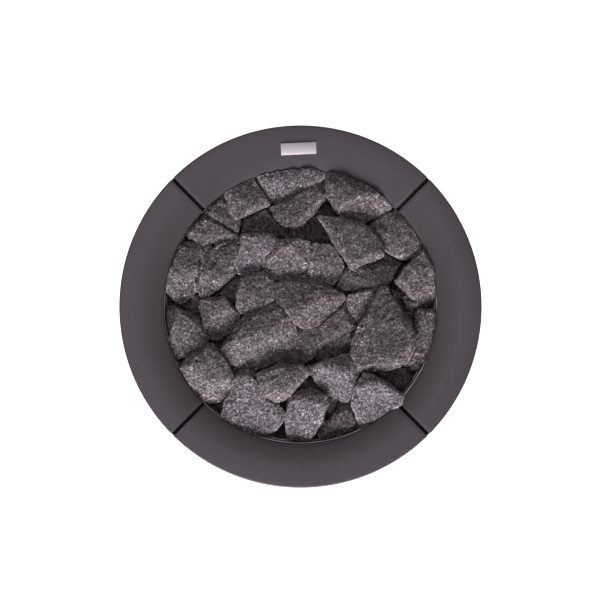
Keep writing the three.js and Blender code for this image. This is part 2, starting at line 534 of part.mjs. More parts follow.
// ---- stones ----
// Each stone is the convex hull of a rim, the outline seen from above, a top face inside it, a belly
// and a smaller foot below. A plane is [height above the lip at the rim's centre, slope along X, slope
// along Y]. The list runs from the top of the heap down: a stone is cut by every stone before it.
const STONES = [
  // The highest: its back lies level and its face falls to the right and the front.
  ['centre', {
    rim: [
      [-36, 30], [-4, 38], [4, 42], [22, 31], [44, 24], [63, 13], [46, -8], [26, -28], [8, -29],
      [-9, -24], [-30, 6],
    ],
    rimAt: [2, -0.05, 0],
    top: [[-27, 24], [2, 35], [17, 26], [14, 6], [8, -13], [-7, -19], [-22, 5]],
    topAt: [14, 0.05, -0.12],
  }],
  ['largest', {
    rim: [
      [-106, -57], [-98, -42], [-75, -13], [-36, 5], [-24, 3], [-8, -20], [-4, -38], [-9, -54],
      [-20, -66], [-42, -83], [-60, -86], [-80, -83], [-94, -75],
    ],
    rimAt: [0, 0, 0.03],
    top: [[-96, -52], [-68, -19], [-38, -2], [-26, -4], [-13, -24], [-32, -31], [-62, -39]],
    topAt: [13, 0, -0.03],
  }],
  ['broad_right', {
    rim: [
      [106, 26], [113, 28], [134, -4], [148, -22], [153, -40], [150, -58], [140, -74], [118, -88],
      [80, -87], [72, -80], [65, -62], [68, -44], [78, -30],
    ],
    rimAt: [1, 0, 0.02],
    top: [
      [108, 20], [116, 12], [143, -24], [147, -40], [143, -56], [118, -79], [80, -77], [73, -64],
      [74, -46], [104, -8],
    ],
    topAt: [10, 0, 0.03],
  }],
  ['front_knob', {
    rim: [
      [-58, -88], [-44, -83], [-28, -77], [0, -76], [9, -83], [11, -89], [-10, -112], [-22, -127],
      [-32, -131], [-48, -124], [-53, -110],
    ],
    rimAt: [5, 0, 0],
    top: [[-53, -91], [-28, -82], [0, -81], [6, -87], [-8, -104], [-34, -116], [-49, -110]],
    topAt: [14, 0, 0],
  }],
  ['left_front', {
    rim: [
      [-158, -80], [-150, -68], [-124, -50], [-116, -50], [-94, -76], [-90, -90], [-93, -108],
      [-100, -122], [-110, -129], [-120, -130], [-129, -124], [-152, -94],
    ],
    rimAt: [-3, 0.07, 0],
    top: [
      [-145, -75], [-121, -55], [-108, -62], [-96, -78], [-95, -86], [-108, -94], [-121, -96],
      [-132, -86],
    ],
    topAt: [13, 0, 0],
  }],
  ['slab_right', {
    rim: [
      [22, 121], [50, 119], [80, 112], [96, 101], [106, 88], [111, 76], [109, 68], [70, 48],
      [65, 52], [50, 77],
    ],
    rimAt: [3, 0, 0],
    top: [[26, 118], [50, 115], [80, 108], [102, 88], [107, 77], [72, 57], [67, 57], [53, 80]],
    topAt: [11, 0, 0.03],
  }],
  ['light_centre', {
    rim: [[-26, 90], [-8, 92], [14, 86], [9, 44], [-4, 39], [-20, 33], [-32, 35], [-55, 53], [-46, 68]],
    rimAt: [1, 0, 0.1],
    top: [[-24, 85], [8, 82], [3, 62], [0, 50], [-20, 43], [-38, 50], [-44, 58], [-36, 72]],
    topAt: [10, 0, 0.18],
  }],
  ['back_right', {
    rim: [
      [36, 176], [60, 170], [80, 161], [100, 150], [122, 131], [118, 124], [85, 111], [72, 110],
      [60, 113], [48, 128], [34, 147], [33, 162],
    ],
    rimAt: [0, 0, 0],
    top: [[40, 170], [60, 165], [80, 156], [97, 148], [80, 146], [60, 143], [44, 149]],
    topAt: [12, 0, 0],
  }],
  ['back_centre', {
    rim: [
      [-57, 171], [-35, 176], [-10, 180], [15, 179], [36, 176], [33, 170], [8, 160], [-22, 146],
      [-33, 136], [-41, 135], [-45, 145],
    ],
    rimAt: [-4, 0, 0.03],
    top: [[-50, 170], [-28, 167], [-10, 171], [28, 173], [14, 176], [-30, 173]],
    topAt: [8, 0, 0],
  }],
  ['back_left', {
    rim: [
      [-100, 149], [-88, 156], [-73, 163], [-60, 168], [-50, 152], [-42, 140], [-43, 136],
      [-72, 123], [-85, 118], [-91, 122],
    ],
    rimAt: [-4, 0, 0],
    top: [[-96, 147], [-74, 159], [-62, 162], [-47, 143], [-72, 131], [-89, 131]],
    topAt: [6, 0, 0],
  }],
  ['ridge_back', {
    rim: [
      [-41, 133], [-20, 143], [26, 168], [34, 169], [39, 163], [36, 150], [32, 141], [8, 114],
      [-3, 103], [-24, 106], [-34, 118],
    ],
    rimAt: [-6, 0, 0],
    top: [[-33, 130], [8, 153], [26, 162], [32, 158], [27, 143], [-6, 112], [-20, 112]],
    topAt: [3, 0, 0],
  }],
  ['light_left', {
    rim: [
      [-78, 96], [-60, 98], [-38, 96], [-28, 88], [-42, 68], [-55, 48], [-66, 38], [-80, 41],
      [-89, 49], [-84, 60],
    ],
    rimAt: [-3, 0, 0.1],
    top: [[-74, 92], [-42, 92], [-34, 86], [-48, 64], [-62, 47], [-79, 50], [-74, 68]],
    topAt: [7, 0, 0.18],
  }],
  ['small_back', {
    rim: [
      [16, 86], [32, 84], [47, 79], [56, 64], [59, 54], [54, 36], [46, 29], [30, 24], [6, 42],
      [4, 58],
    ],
    rimAt: [-3, 0, 0.04],
    top: [[20, 82], [42, 77], [52, 62], [53, 48], [40, 38], [24, 40], [10, 54]],
    topAt: [8, 0.02, 0.12],
  }],
  ['cracked_left', {
    rim: [
      [-78, 38], [-64, 41], [-50, 47], [-38, 38], [-33, 22], [-33, 7], [-50, -4], [-62, -12],
      [-78, -11], [-85, -2], [-85, 16],
    ],
    rimAt: [-1, 0, 0],
    top: [[-74, 34], [-50, 41], [-40, 32], [-38, 12], [-62, -5], [-74, -6], [-80, 2], [-79, 22]],
    topAt: [7, 0, 0],
  }],
  ['right_edge', {
    rim: [
      [125, 34], [138, 48], [160, 76], [166, 70], [170.5, 58], [175.5, 42], [179, 20], [177, 8],
      [170, 0], [162, -3], [156, 3],
    ],
    rimAt: [-6, 0, 0.05],
    top: [[131, 37], [142, 48], [159, 70], [165, 60], [170, 46], [163, 30], [156, 21]],
    topAt: [6, -0.05, 0.1],
  }],
  ['front_right', {
    rim: [
      [84, -88], [94, -90], [108, -96], [134, -116], [132, -125], [112, -146], [98, -156],
      [84, -165], [78, -162], [69, -138], [67, -126], [72, -108],
    ],
    rimAt: [4, 0, 0],
    top: [[86, -94], [96, -96], [122, -115], [120, -126], [92, -149], [84, -150], [76, -136], [78, -116]],
    topAt: [13, 0, 0.06],
  }],
  ['front_wedge', {
    rim: [
      [9, -80], [26, -76], [42, -72], [64, -62], [71, -70], [78, -88], [75, -104], [69, -120],
      [62, -131], [50, -127], [34, -117], [20, -101],
    ],
    rimAt: [-2, 0, 0.02],
    top: [[16, -80], [42, -77], [62, -68], [68, -76], [72, -88], [60, -91], [44, -87], [24, -85]],
    topAt: [8, 0, -0.04],
  }],
  ['front_centre', {
    rim: [
      [-16, -120], [-8, -114], [20, -110], [37, -117], [38, -128], [24, -160], [14, -174],
      [6, -181.5], [-8, -183], [-20, -180], [-21, -150],
    ],
    rimAt: [0, 0, -0.1],
    top: [
      [-10, -122], [10, -121], [31, -122], [28, -136], [14, -160], [4, -170], [-12, -172],
      [-15, -140],
    ],
    topAt: [10, 0, 0.05],
  }],
  ['front_left', {
    rim: [
      [-92, -96], [-82, -86], [-70, -82], [-57, -92], [-46, -118], [-24, -134], [-19, -146],
      [-21, -158], [-40, -169], [-60, -173], [-78, -165.5], [-94, -156], [-104, -146],
      [-105, -138],
    ],
    rimAt: [0, 0, -0.06],
    top: [
      [-86, -98], [-71, -88], [-61, -98], [-52, -120], [-30, -138], [-26, -154], [-42, -163],
      [-60, -166], [-92, -148], [-97, -138],
    ],
    topAt: [6, 0, 0.04],
  }],
  ['pebble_right', {
    rim: [
      [60, 8], [64, 16], [78, 20], [104, 26], [107, 12], [107, -4], [103, -18], [92, -28],
      [84, -30], [74, -24],
    ],
    rimAt: [-7, 0, 0],
    top: [[65, 7], [76, 15], [99, 20], [101, 0], [96, -16], [87, -22], [77, -17]],
    topAt: [1, 0, 0.04],
  }],
  ['right_back', {
    rim: [
      [91, 108], [108, 120], [126, 127], [140, 113], [150, 100], [159, 84], [157, 70], [136, 62],
      [124, 70], [108, 80],
    ],
    rimAt: [-9, 0, 0],
    top: [
      [97, 108], [110, 116], [125, 121], [145, 101], [153, 84], [151, 74], [137, 68], [124, 76],
      [110, 87],
    ],
    topAt: [0, 0, 0.03],
  }],
  ['left_big', {
    rim: [
      [-92, 88], [-79, 90], [-76, 70], [-86, 46], [-114, 19], [-133, 10], [-140, 20], [-141, 44],
      [-139, 62], [-132, 70],
    ],
    rimAt: [-10, 0, 0],
    top: [[-94, 82], [-83, 80], [-84, 62], [-92, 47], [-129, 19], [-135, 26], [-134, 56], [-126, 64]],
    topAt: [-1, 0, 0.03],
  }],
  ['left_middle', {
    rim: [
      [-118, 14], [-102, 13], [-80, -12], [-79, -24], [-106, -45], [-118, -49], [-124, -38],
      [-130, -8], [-138, 4], [-132, 11],
    ],
    rimAt: [-9, 0, 0],
    top: [[-115, 4], [-102, 6], [-89, -8], [-87, -20], [-114, -41], [-120, -24], [-119, -6]],
    topAt: [1, 0, 0.14],
  }],
  ['left_edge', {
    rim: [
      [-160, 82], [-148, 87], [-120, 86], [-117, 70], [-134, 30], [-142, 14], [-160, 1],
      [-172, 10], [-177.5, 22], [-176, 38], [-173, 50],
    ],
    rimAt: [-11, 0, 0],
    top: [[-156, 78], [-140, 78], [-144, 50], [-145, 30], [-160, 23], [-171, 27], [-170, 46]],
    topAt: [-1, 0, 0.02],
  }],
  ['left_light', {
    rim: [
      [-166, 0], [-152, -7], [-138, -16], [-128, -28], [-123, -42], [-132, -57], [-163, -70],
      [-170, -58], [-173, -46], [-171, -24],
    ],
    rimAt: [-11, 0, 0],
    top: [[-162, -8], [-142, -20], [-132, -36], [-135, -47], [-152, -48], [-166, -42], [-165, -22]],
    topAt: [0, 0, 0.1],
  }],
]

// Low and half hidden stones, which are one body with the rest of the fill below them.
const LOW_STONES = [
  {
    rim: [
      [-150, 97], [-138, 113], [-127, 122], [-110, 114], [-84, 98], [-79, 93], [-80, 89],
      [-115, 84], [-135, 84], [-149, 89],
    ],
    rimAt: [-11, 0, 0],
    top: [[-145, 97], [-136, 109], [-125, 115], [-105, 106], [-90, 96], [-108, 99], [-128, 97]],
    topAt: [-1, 0, 0],
  },
  {
    rim: [[-119, 76], [-110, 89], [-92, 90], [-98, 77], [-106, 66], [-114, 67]],
    rimAt: [-8, 0, 0.1],
    top: [[-113, 77], [-107, 84], [-97, 85], [-105, 72]],
    topAt: [-3, 0, 0.2],
  },
  {
    rim: [
      [50, 28], [52, 40], [60, 54], [98, 62], [122, 62], [137, 60], [126, 40], [114, 27], [98, 24],
      [70, 20], [58, 22],
    ],
    rimAt: [-14, 0, -0.1],
    top: [[60, 44], [72, 41], [90, 39], [101, 31], [114, 32], [130, 54], [100, 56], [68, 52]],
    topAt: [-5, 0, -0.3],
  },
  {
    rim: [
      [-127, 123], [-118, 134], [-100, 148], [-88, 140], [-80, 118], [-83, 99], [-90, 99],
      [-118, 116],
    ],
    rimAt: [-10, 0, 0],
    top: [[-120, 124], [-104, 140], [-92, 130], [-86, 112], [-88, 104], [-112, 117]],
    topAt: [-3, 0, 0.03],
  },
  {
    rim: [
      [156, 0], [166, -2], [176, -4], [179.5, -14], [178, -28], [175, -43], [169, -61], [164, -72],
      [148, -71], [147, -60],
    ],
    rimAt: [-12, 0, 0],
    top: [[161, -6], [172, -9], [173, -22], [170, -42], [161, -64], [153, -62], [158, -30]],
    topAt: [-4, 0, 0.05],
  },
  {
    rim: [
      [-26, -66], [-12, -50], [-6, -22], [24, -20], [62, 8], [69, -14], [76, -28], [52, -35],
      [32, -47], [4, -77], [-8, -76],
    ],
    rimAt: [-12, 0, 0.04],
    top: [
      [-14, -62], [-2, -40], [8, -28], [28, -22], [56, -4], [64, -22], [44, -33], [24, -46],
      [2, -68],
    ],
    topAt: [-4, 0, 0.09],
  },
  {
    rim: [[18, -64], [30, -50], [62, -29], [75, -31], [73, -44], [64, -61], [34, -73], [22, -71]],
    rimAt: [-19, 0, 0],
    top: [[26, -63], [50, -42], [67, -36], [68, -43], [52, -53], [40, -65]],
    topAt: [-11, 0, 0.1],
  },
  {
    rim: [[60, -131], [72, -134], [80, -158], [66, -165], [34, -175], [24, -176], [22, -168], [44, -142]],
    rimAt: [-15, 0, 0],
    top: [[60, -138], [68, -142], [72, -153], [32, -168], [48, -145]],
    topAt: [-8, 0, 0.1],
  },
  {
    rim: [[-82, 96], [-80, 119], [-46, 137], [-26, 116], [-18, 104], [-20, 94]],
    rimAt: [-22, 0, 0],
    top: [[-75, 103], [-71, 117], [-48, 128], [-28, 107], [-56, 101]],
    topAt: [-12, 0, 0],
  },
  {
    rim: [[-22, 98], [12, 126], [30, 142], [50, 134], [48, 86], [40, 80], [14, 81], [-8, 88]],
    rimAt: [-32, 0, 0],
    top: [[-12, 99], [14, 118], [38, 130], [38, 92], [14, 90]],
    topAt: [-23, 0, 0],
  },
  {
    rim: [[97, 58], [108, 75], [124, 74], [138, 62], [128, 56], [104, 53]],
    rimAt: [-24, 0, 0],
    top: [[104, 60], [110, 70], [128, 63], [112, 58]],
    topAt: [-17, 0, 0],
  },
  {
    rim: [[117, 18], [122, 26], [140, 24], [153, 13], [157, -5], [152, -27], [126, -4]],
    rimAt: [-26, 0, 0],
    top: [[124, 19], [138, 18], [148, 8], [150, -12], [132, -2]],
    topAt: [-18, -0.1, 0.1],
  },
  {
    rim: [[141, -74], [152, -68], [164, -70], [163, -78], [157, -86], [147, -86]],
    rimAt: [-24, 0, 0],
    top: [[148, -74], [158, -73], [158, -79], [151, -82]],
    topAt: [-17, 0, 0.1],
  },
  {
    rim: [[105, -90], [118, -82], [144, -77], [152, -92], [146, -103], [137, -113], [116, -102]],
    rimAt: [-30, 0, 0],
    top: [[114, -91], [140, -83], [146, -93], [136, -105]],
    topAt: [-24, 0, 0],
  },
  {
    rim: [[-177, 0], [-168, 2], [-164, -8], [-166, -30], [-173, -36], [-175.5, -28], [-178, -14]],
    rimAt: [-20, 0, 0],
    top: [[-174, -5], [-169, -4], [-168, -24], [-173, -25]],
    topAt: [-14, 0, 0],
  },
  {
    rim: [[-118, 14], [-88, 46], [-74, 42], [-80, 4], [-96, 8]],
    rimAt: [-27, 0, 0],
    top: [[-108, 18], [-88, 38], [-82, 34], [-86, 12]],
    topAt: [-20, 0, 0],
  },
  {
    rim: [[-44, 42], [-2, 42], [-6, 22], [-38, 4]],
    rimAt: [-28, 0, 0],
    top: [[-38, 37], [-8, 37], [-12, 26], [-34, 14]],
    topAt: [-22, 0, 0],
  },
  {
    rim: [[-36, -86], [-30, -62], [-2, -66], [0, -84]],
    rimAt: [-22, 0, 0],
    top: [[-30, -80], [-26, -68], [-8, -70], [-6, -80]],
    topAt: [-15, 0, 0],
  },
  {
    rim: [[-98, -94], [-92, -70], [-56, -78], [-58, -98]],
    rimAt: [-20, 0, 0],
    top: [[-91, -88], [-88, -76], [-64, -82], [-64, -90]],
    topAt: [-13, 0, 0],
  },
  {
    rim: [[-114, -134], [-106, -116], [-94, -122], [-98, -142]],
    rimAt: [-24, 0, 0],
    top: [[-109, -130], [-104, -121], [-98, -125], [-101, -136]],
    topAt: [-17, 0, 0],
  },
  {
    rim: [[26, -160], [34, -116], [64, -128], [54, -148]],
    rimAt: [-36, 0, 0],
    top: [[34, -150], [38, -124], [56, -132], [50, -144]],
    topAt: [-30, 0, 0],
  },
  {
    rim: [[-162, 0], [-142, 18], [-126, 10], [-130, -26]],
    rimAt: [-32, 0, 0],
    top: [[-154, 0], [-142, 11], [-132, 6], [-135, -16]],
    topAt: [-25, 0, 0],
  },
  {
    rim: [[-126, 72], [-118, 94], [-86, 92], [-84, 60], [-100, 52]],
    rimAt: [-34, 0, 0],
    top: [[-120, 74], [-114, 86], [-92, 86], [-90, 64]],
    topAt: [-27, 0, 0],
  },
]
const STONE_DEPTH = 36
const FOOT_SHARE = 0.62
const BELLY_SHARE = 0.93
const GROW_SIDE = 0.8
const GROW_HEIGHT = 0.6

function stonePoints({ rim, rimAt, top, topAt }) {
  const centre = [0, 1].map((k) => rim.reduce((sum, point) => sum + point[k], 0) / rim.length)
  const lift = ([x, y], [height, slopeX, slopeY]) =>
    new THREE.Vector3(x, y, LIP_HEIGHT + height + slopeX * (x - centre[0]) + slopeY * (y - centre[1]))
  const shrunk = (point, share) => point.map((value, k) => centre[k] + share * (value - centre[k]))
  const lowered = (depth) => [rimAt[0] - depth, rimAt[1], rimAt[2]]
  const belly = rim.filter((_, i) => i % 2 === 0)
  const foot = rim.filter((_, i) => i % 3 === 0)
  return [
    ...rim.map((point) => lift(point, rimAt)),
    ...top.map((point) => lift(point, topAt)),
    ...belly.map((point) => lift(shrunk(point, BELLY_SHARE), lowered(STONE_DEPTH / 2))),
    ...foot.map((point) => lift(shrunk(point, FOOT_SHARE), lowered(STONE_DEPTH))),
  ]
}

// The same points moved a little away from their middle, for a hull to cut the stones beneath with.
function grown(points) {
  const middle = points.reduce((sum, p) => sum.add(p), new THREE.Vector3()).divideScalar(points.length)
  return points.map((p) => {
    const away = p.clone().sub(middle)
    const side = Math.hypot(away.x, away.y)
    const x = p.x + (GROW_SIDE * away.x) / side
    const y = p.y + (GROW_SIDE * away.y) / side
    return new THREE.Vector3(x, y, p.z + GROW_HEIGHT * Math.sign(away.z))
  })
}

// The triangles of a mesh, grouped by connected piece.
function connectedPieces(mesh) {
  const owner = Array.from({ length: mesh.getAttribute('position').count }, (_, i) => i)
  const find = (i) => {
    let at = i
    while (owner[at] !== at) at = owner[at]
    return at
  }
  const index = mesh.index.array
  for (let i = 0; i < index.length; i += 3) {
    owner[find(index[i + 1])] = find(index[i])
    owner[find(index[i + 2])] = find(index[i])
  }
  const pieces = new Map()
  for (let i = 0; i < index.length; i += 3) {
    const root = find(index[i])
    if (!pieces.has(root)) pieces.set(root, [])
    pieces.get(root).push(index[i], index[i + 1], index[i + 2])
  }
  return [...pieces.values()]
}

// Keeps the largest connected piece, without the crumbs that a cut may leave.
function largestPiece(geometry) {
  const mesh = closed(geometry)
  const volume = (piece) => Math.abs(signedVolume(mesh.getAttribute('position'), piece))
  const largest = connectedPieces(mesh).sort((a, b) => volume(b) - volume(a))[0]
  mesh.setIndex(largest)
  return closed(mesh.toNonIndexed())
}

// The space the stones may fill: inside the cage, and above the lip a little over the collar.
const WELL_BOTTOM = GRATE_RING_HIGH + CLEARANCE
const WELL_RADIUS = CAGE_RADIUS - WIRE_RADIUS - CLEARANCE
const WELL_EDGE = LIP_HEIGHT + 1.2
const WELL_TOP = RIM_HEIGHT + 60
const WELL_MOUTH = LIP_RADIUS + 6
const well = solid(turned([
  [0, WELL_BOTTOM],
  [WELL_RADIUS, WELL_BOTTOM],
  [WELL_RADIUS, WELL_EDGE],
  [WELL_MOUTH, WELL_EDGE + LIP_DROP / 2],
  [WELL_MOUTH, WELL_TOP],
  [0, WELL_TOP],
]))

const cutters = []
STONES.forEach(([name, spec], index) => {
  const points = stonePoints(spec)
  const whole = solid(new ConvexGeometry(points)).intersect(well)
  const left = cutters.reduce((body, cutter) => body.subtract(cutter), whole)
  const number = String(index + 1).padStart(2, '0')
  place(`stone_${number}_${name}`, largestPiece(geometryOf(left)), 'stone')
  cutters.push(solid(new ConvexGeometry(grown(points))))
})

// The rest of the fill: a drum of stones down to the grate, with a slot round each heating element.
const FILL_RADIUS = 178
const FILL_TOP = LIP_HEIGHT - 42
const FILL_STEPS = 24
const SLOT_ROOM = 9

function fillDrum() {
  const drum = solid(bar(FILL_RADIUS, WELL_BOTTOM, FILL_TOP, 0, 0, FILL_STEPS))
  const slots = ELEMENTS.map((number) => {
    const x = elementX(number)
    const reach = ELEMENT_HALF_WIDTH + SLOT_ROOM
    const top = ELEMENT_TOP + SLOT_ROOM
    return solid(block(x - SLOT_ROOM, x + SLOT_ROOM, -reach, reach, WELL_BOTTOM - 1, top))
  })
  return slots.reduce((body, slot) => body.subtract(slot), drum)
}

function stoneFill() {
  const low = LOW_STONES.map((spec) => solid(new ConvexGeometry(stonePoints(spec))))
  const heap = low.reduce((body, stone) => body.add(stone), fillDrum()).intersect(well)
  return largestPiece(geometryOf(cutters.reduce((body, cutter) => body.subtract(cutter), heap)))
}
place('stone_fill', stoneFill(), 'stone')

export default heater
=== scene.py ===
"""Looks of a round sauna heater full of split stones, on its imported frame. Metres, +Z up, -Y the front."""

import itertools
import math

import bmesh
import bpy
import numpy as np
from mathutils import Matrix, Vector
from mathutils.bvhtree import BVHTree


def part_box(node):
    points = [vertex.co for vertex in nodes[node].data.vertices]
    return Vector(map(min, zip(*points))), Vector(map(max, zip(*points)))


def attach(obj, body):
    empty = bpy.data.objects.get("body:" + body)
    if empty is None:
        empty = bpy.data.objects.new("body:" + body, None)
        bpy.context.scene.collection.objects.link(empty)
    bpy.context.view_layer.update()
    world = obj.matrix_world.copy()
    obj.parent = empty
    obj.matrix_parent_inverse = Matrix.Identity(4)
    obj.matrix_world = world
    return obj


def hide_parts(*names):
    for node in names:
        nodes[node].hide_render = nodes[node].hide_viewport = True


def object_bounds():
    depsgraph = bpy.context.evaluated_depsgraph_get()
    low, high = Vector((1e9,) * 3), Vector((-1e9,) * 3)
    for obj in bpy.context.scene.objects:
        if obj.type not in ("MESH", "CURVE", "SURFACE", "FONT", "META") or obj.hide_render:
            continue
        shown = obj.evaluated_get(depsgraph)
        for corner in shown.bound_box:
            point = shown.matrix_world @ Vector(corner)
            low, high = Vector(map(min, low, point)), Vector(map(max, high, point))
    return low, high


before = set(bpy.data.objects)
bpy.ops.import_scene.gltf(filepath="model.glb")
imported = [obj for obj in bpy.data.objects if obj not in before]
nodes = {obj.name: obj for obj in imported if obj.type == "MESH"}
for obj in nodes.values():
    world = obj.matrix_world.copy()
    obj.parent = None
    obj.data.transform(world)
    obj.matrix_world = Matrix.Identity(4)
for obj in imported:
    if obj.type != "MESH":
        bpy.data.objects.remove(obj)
cad_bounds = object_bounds()

MM = 0.001
# ---- places and sizes: the box of the casing is read from the frame ----

RIM_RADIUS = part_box("casing_panel_right")[1].x
RIM_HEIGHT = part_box("casing_panel_back")[1].z
CASING_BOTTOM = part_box("casing_panel_back")[0].z
# The collar falls from the rim to the lip in a parabola, and a short flange hangs from the lip.
LIP_RADIUS = 182.5 * MM
LIP_DROP = 10 * MM
LIP_HEIGHT = RIM_HEIGHT - LIP_DROP
LIP_FLANGE = 6 * MM
LIP_ROUND = 1.0 * MM
RIM_BEND = 2.5 * MM
SHEET = 1.5 * MM
PANEL_GAP = 4.5 * MM
PANEL_EDGE = 0.3 * MM
THIN_EDGE = 0.2 * MM
# The notch for the fascia leaves this much room beside and above it, and is open below.
NOTCH_ROOM = 4 * MM
NOTCH_REACH = 50 * MM
# The first gap lies at this angle from +X, and the others a quarter turn apart. The panels and the quarters
# of the cage are counted from it.
GAP_ANGLE = math.radians(45)
QUARTER = math.pi / 2
QUARTERS = ("back", "left", "front", "right")
STRIP_DEPTH = 7 * MM
STRIP_WIDTH = PANEL_GAP - 0.1 * MM
STRIP_INSET = 0.6 * MM
CAGE_RADIUS = 184.2 * MM
UPRIGHT_RADIUS = 186.2 * MM
WIRE_RADIUS = 2 * MM
CAGE_RINGS = 19
UPRIGHTS_PER_QUARTER = 3
# The outer rings lie this far inside the ends of the uprights.
LOWEST_RING = 4 * MM
HIGHEST_RING = 3 * MM
QUARTER_ROOM = 0.1 * MM


# ---- meshes ----

def new_object(name, data):
    obj = bpy.data.objects.new(name, data)
    bpy.context.scene.collection.objects.link(obj)
    return obj


def object_of(work, name):
    """A new object with the bmesh's shape; the bmesh is freed."""
    mesh = bpy.data.meshes.new(name)
    work.to_mesh(mesh)
    work.free()
    return new_object(name, mesh)


def from_faces(name, points, faces):
    mesh = bpy.data.meshes.new(name)
    mesh.from_pydata([tuple(p) for p in points], [], faces)
    mesh.validate()
    return new_object(name, mesh)


def box_object(name, low, high):
    points = [(x, y, z) for x in (low[0], high[0]) for y in (low[1], high[1]) for z in (low[2], high[2])]
    faces = [(0, 1, 3, 2), (4, 6, 7, 5), (0, 4, 5, 1), (2, 3, 7, 6), (0, 2, 6, 4), (1, 5, 7, 3)]
    return from_faces(name, points, faces)


def apply_all(obj):
    """Turns the object's modifiers into mesh."""
    graph = bpy.context.evaluated_depsgraph_get()
    mesh = bpy.data.meshes.new_from_object(obj.evaluated_get(graph))
    obj.modifiers.clear()
    obj.data = mesh


def shade(obj, degrees=35):
    """Smooth shading with the sharp edges kept."""
    obj.data.polygons.foreach_set("use_smooth", [True] * len(obj.data.polygons))
    obj.data.set_sharp_from_angle(angle=math.radians(degrees))


def outward(obj, weld=False):
    """Turns the faces out. With weld, corners at the same place are first made one."""
    work = bmesh.new()
    work.from_mesh(obj.data)
    if weld:
        bmesh.ops.remove_doubles(work, verts=work.verts, dist=1e-5)
    bmesh.ops.recalc_face_normals(work, faces=work.faces)
    work.to_mesh(obj.data)
    work.free()


def bevel(obj, width, segments=2):
    """Breaks the edges sharper than 30 degrees, together with any modifier that waits on the object."""
    mod = obj.modifiers.new("edge", "BEVEL")
    mod.width = width
    mod.segments = segments
    mod.limit_method = "ANGLE"
    mod.angle_limit = math.radians(30)
    mod.harden_normals = False
    apply_all(obj)


def copy_of(node, name):
    """A new object with the CAD node's shape, its corners shared."""
    obj = new_object(name, nodes[node].data.copy())
    obj.data.materials.clear()
    outward(obj, weld=True)
    return obj


def dress(obj, material, slot, body, *replaced):
    """Gives a piece its material and says its body and the CAD nodes it stands for; slot is not used."""
    obj.data.materials.clear()
    obj.data.materials.append(material)
    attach(obj, body)
    if replaced:
        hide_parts(*replaced)


# ---- materials ----

class Nodes:
    """A small helper to write a material's node tree."""

    def __init__(self, name):
        self.material = bpy.data.materials.new(name)
        self.material.use_nodes = True
        self.tree = self.material.node_tree
        self.shader = self.tree.nodes["Principled BSDF"]

    def add(self, kind, **values):
        node = self.tree.nodes.new(kind)
        for key, value in values.items():
            setattr(node, key, value)
        return node

    def link(self, source, target):
        self.tree.links.new(source, target)

    def feed(self, value, socket):
        """Writes a number or a colour in a socket, or links an output to it."""
        if isinstance(value, (int, float)):
            socket.default_value = value
        elif isinstance(value, tuple):
            socket.default_value = (*value, 1)
        else:
            self.link(value, socket)

    def place(self):
        """Where a point is on the object, in metres."""
        return self.add("ShaderNodeTexCoord").outputs["Object"]

    def distance_from_axis(self):
        split = self.add("ShaderNodeSeparateXYZ")
        self.link(self.place(), split.inputs[0])
        squares = [self.math("MULTIPLY", split.outputs[i], split.outputs[i]) for i in (0, 1)]
        return self.math("SQRT", self.math("ADD", *squares))

    def grey(self, level):
        node = self.add("ShaderNodeCombineColor")
        for socket in node.inputs[:3]:
            self.link(level, socket)
        return node.outputs[0]

    def noise(self, scale, detail=2.0, rough=0.5, where=None):
        node = self.add("ShaderNodeTexNoise")
        node.inputs["Scale"].default_value = scale
        node.inputs["Detail"].default_value = detail
        node.inputs["Roughness"].default_value = rough
        self.link(where or self.place(), node.inputs["Vector"])
        return node.outputs["Fac"]

    def cells(self, scale):
        """A random colour in each cell of a pattern of crystals."""
        node = self.add("ShaderNodeTexVoronoi", feature="F1")
        node.inputs["Scale"].default_value = scale
        self.link(self.place(), node.inputs["Vector"])
        return node.outputs["Color"]

    def grey_ramp(self, source, low_at, high_at, low=0.0, high=1.0):
        """Goes from low to high while the source goes from low_at to high_at, and stays there beyond."""
        node = self.add("ShaderNodeMapRange")
        node.inputs["From Min"].default_value = low_at
        node.inputs["From Max"].default_value = high_at
        node.inputs["To Min"].default_value = low
        node.inputs["To Max"].default_value = high
        self.link(source, node.inputs["Value"])
        return node.outputs["Result"]

    def crystals(self, scale, levels):
        """A random level in each crystal. A pair in levels is a share of the crystals and its level."""
        split = self.add("ShaderNodeSeparateColor")
        self.link(self.cells(scale), split.inputs[0])
        curve = self.add("ShaderNodeFloatCurve")
        top = max(level for _, level in levels)
        points = curve.mapping.curves[0].points
        while len(points) < len(levels):
            points.new(0.5, 0.5)
        for point, (share, level) in zip(points, levels):
            point.location = (share, level / top)
            point.handle_type = "VECTOR"
        curve.mapping.update()
        self.link(split.outputs[0], curve.inputs["Value"])
        return self.math("MULTIPLY", curve.outputs[0], top)

    def math(self, kind, a, b=0):
        node = self.add("ShaderNodeMath", operation=kind)
        self.feed(a, node.inputs[0])
        self.feed(b, node.inputs[1])
        return node.outputs[0]

    def ridges(self, scale, detail, rough):
        """0 along thin branching lines, and more beside them."""
        return self.math("ABSOLUTE", self.math("SUBTRACT", self.noise(scale, detail, rough), 0.5))

    def mix(self, factor, a, b, blend="MIX"):
        node = self.add("ShaderNodeMix", data_type="RGBA", blend_type=blend)
        self.feed(factor, node.inputs[0])
        self.feed(a, node.inputs[6])
        self.feed(b, node.inputs[7])
        return node.outputs[2]

    def bump(self, height, depth, strength=1.0, after=None):
        node = self.add("ShaderNodeBump")
        node.inputs["Distance"].default_value = depth
        node.inputs["Strength"].default_value = strength
        self.link(height, node.inputs["Height"])
        if after is not None:
            self.link(after, node.inputs["Normal"])
        return node.outputs["Normal"]

    def set(self, **values):
        names = {
            "colour": "Base Color", "rough": "Roughness", "metal": "Metallic", "normal": "Normal",
            "specular": "Specular IOR Level",
        }
        for key, value in values.items():
            self.feed(value, self.shader.inputs[names[key]])
        return self.material
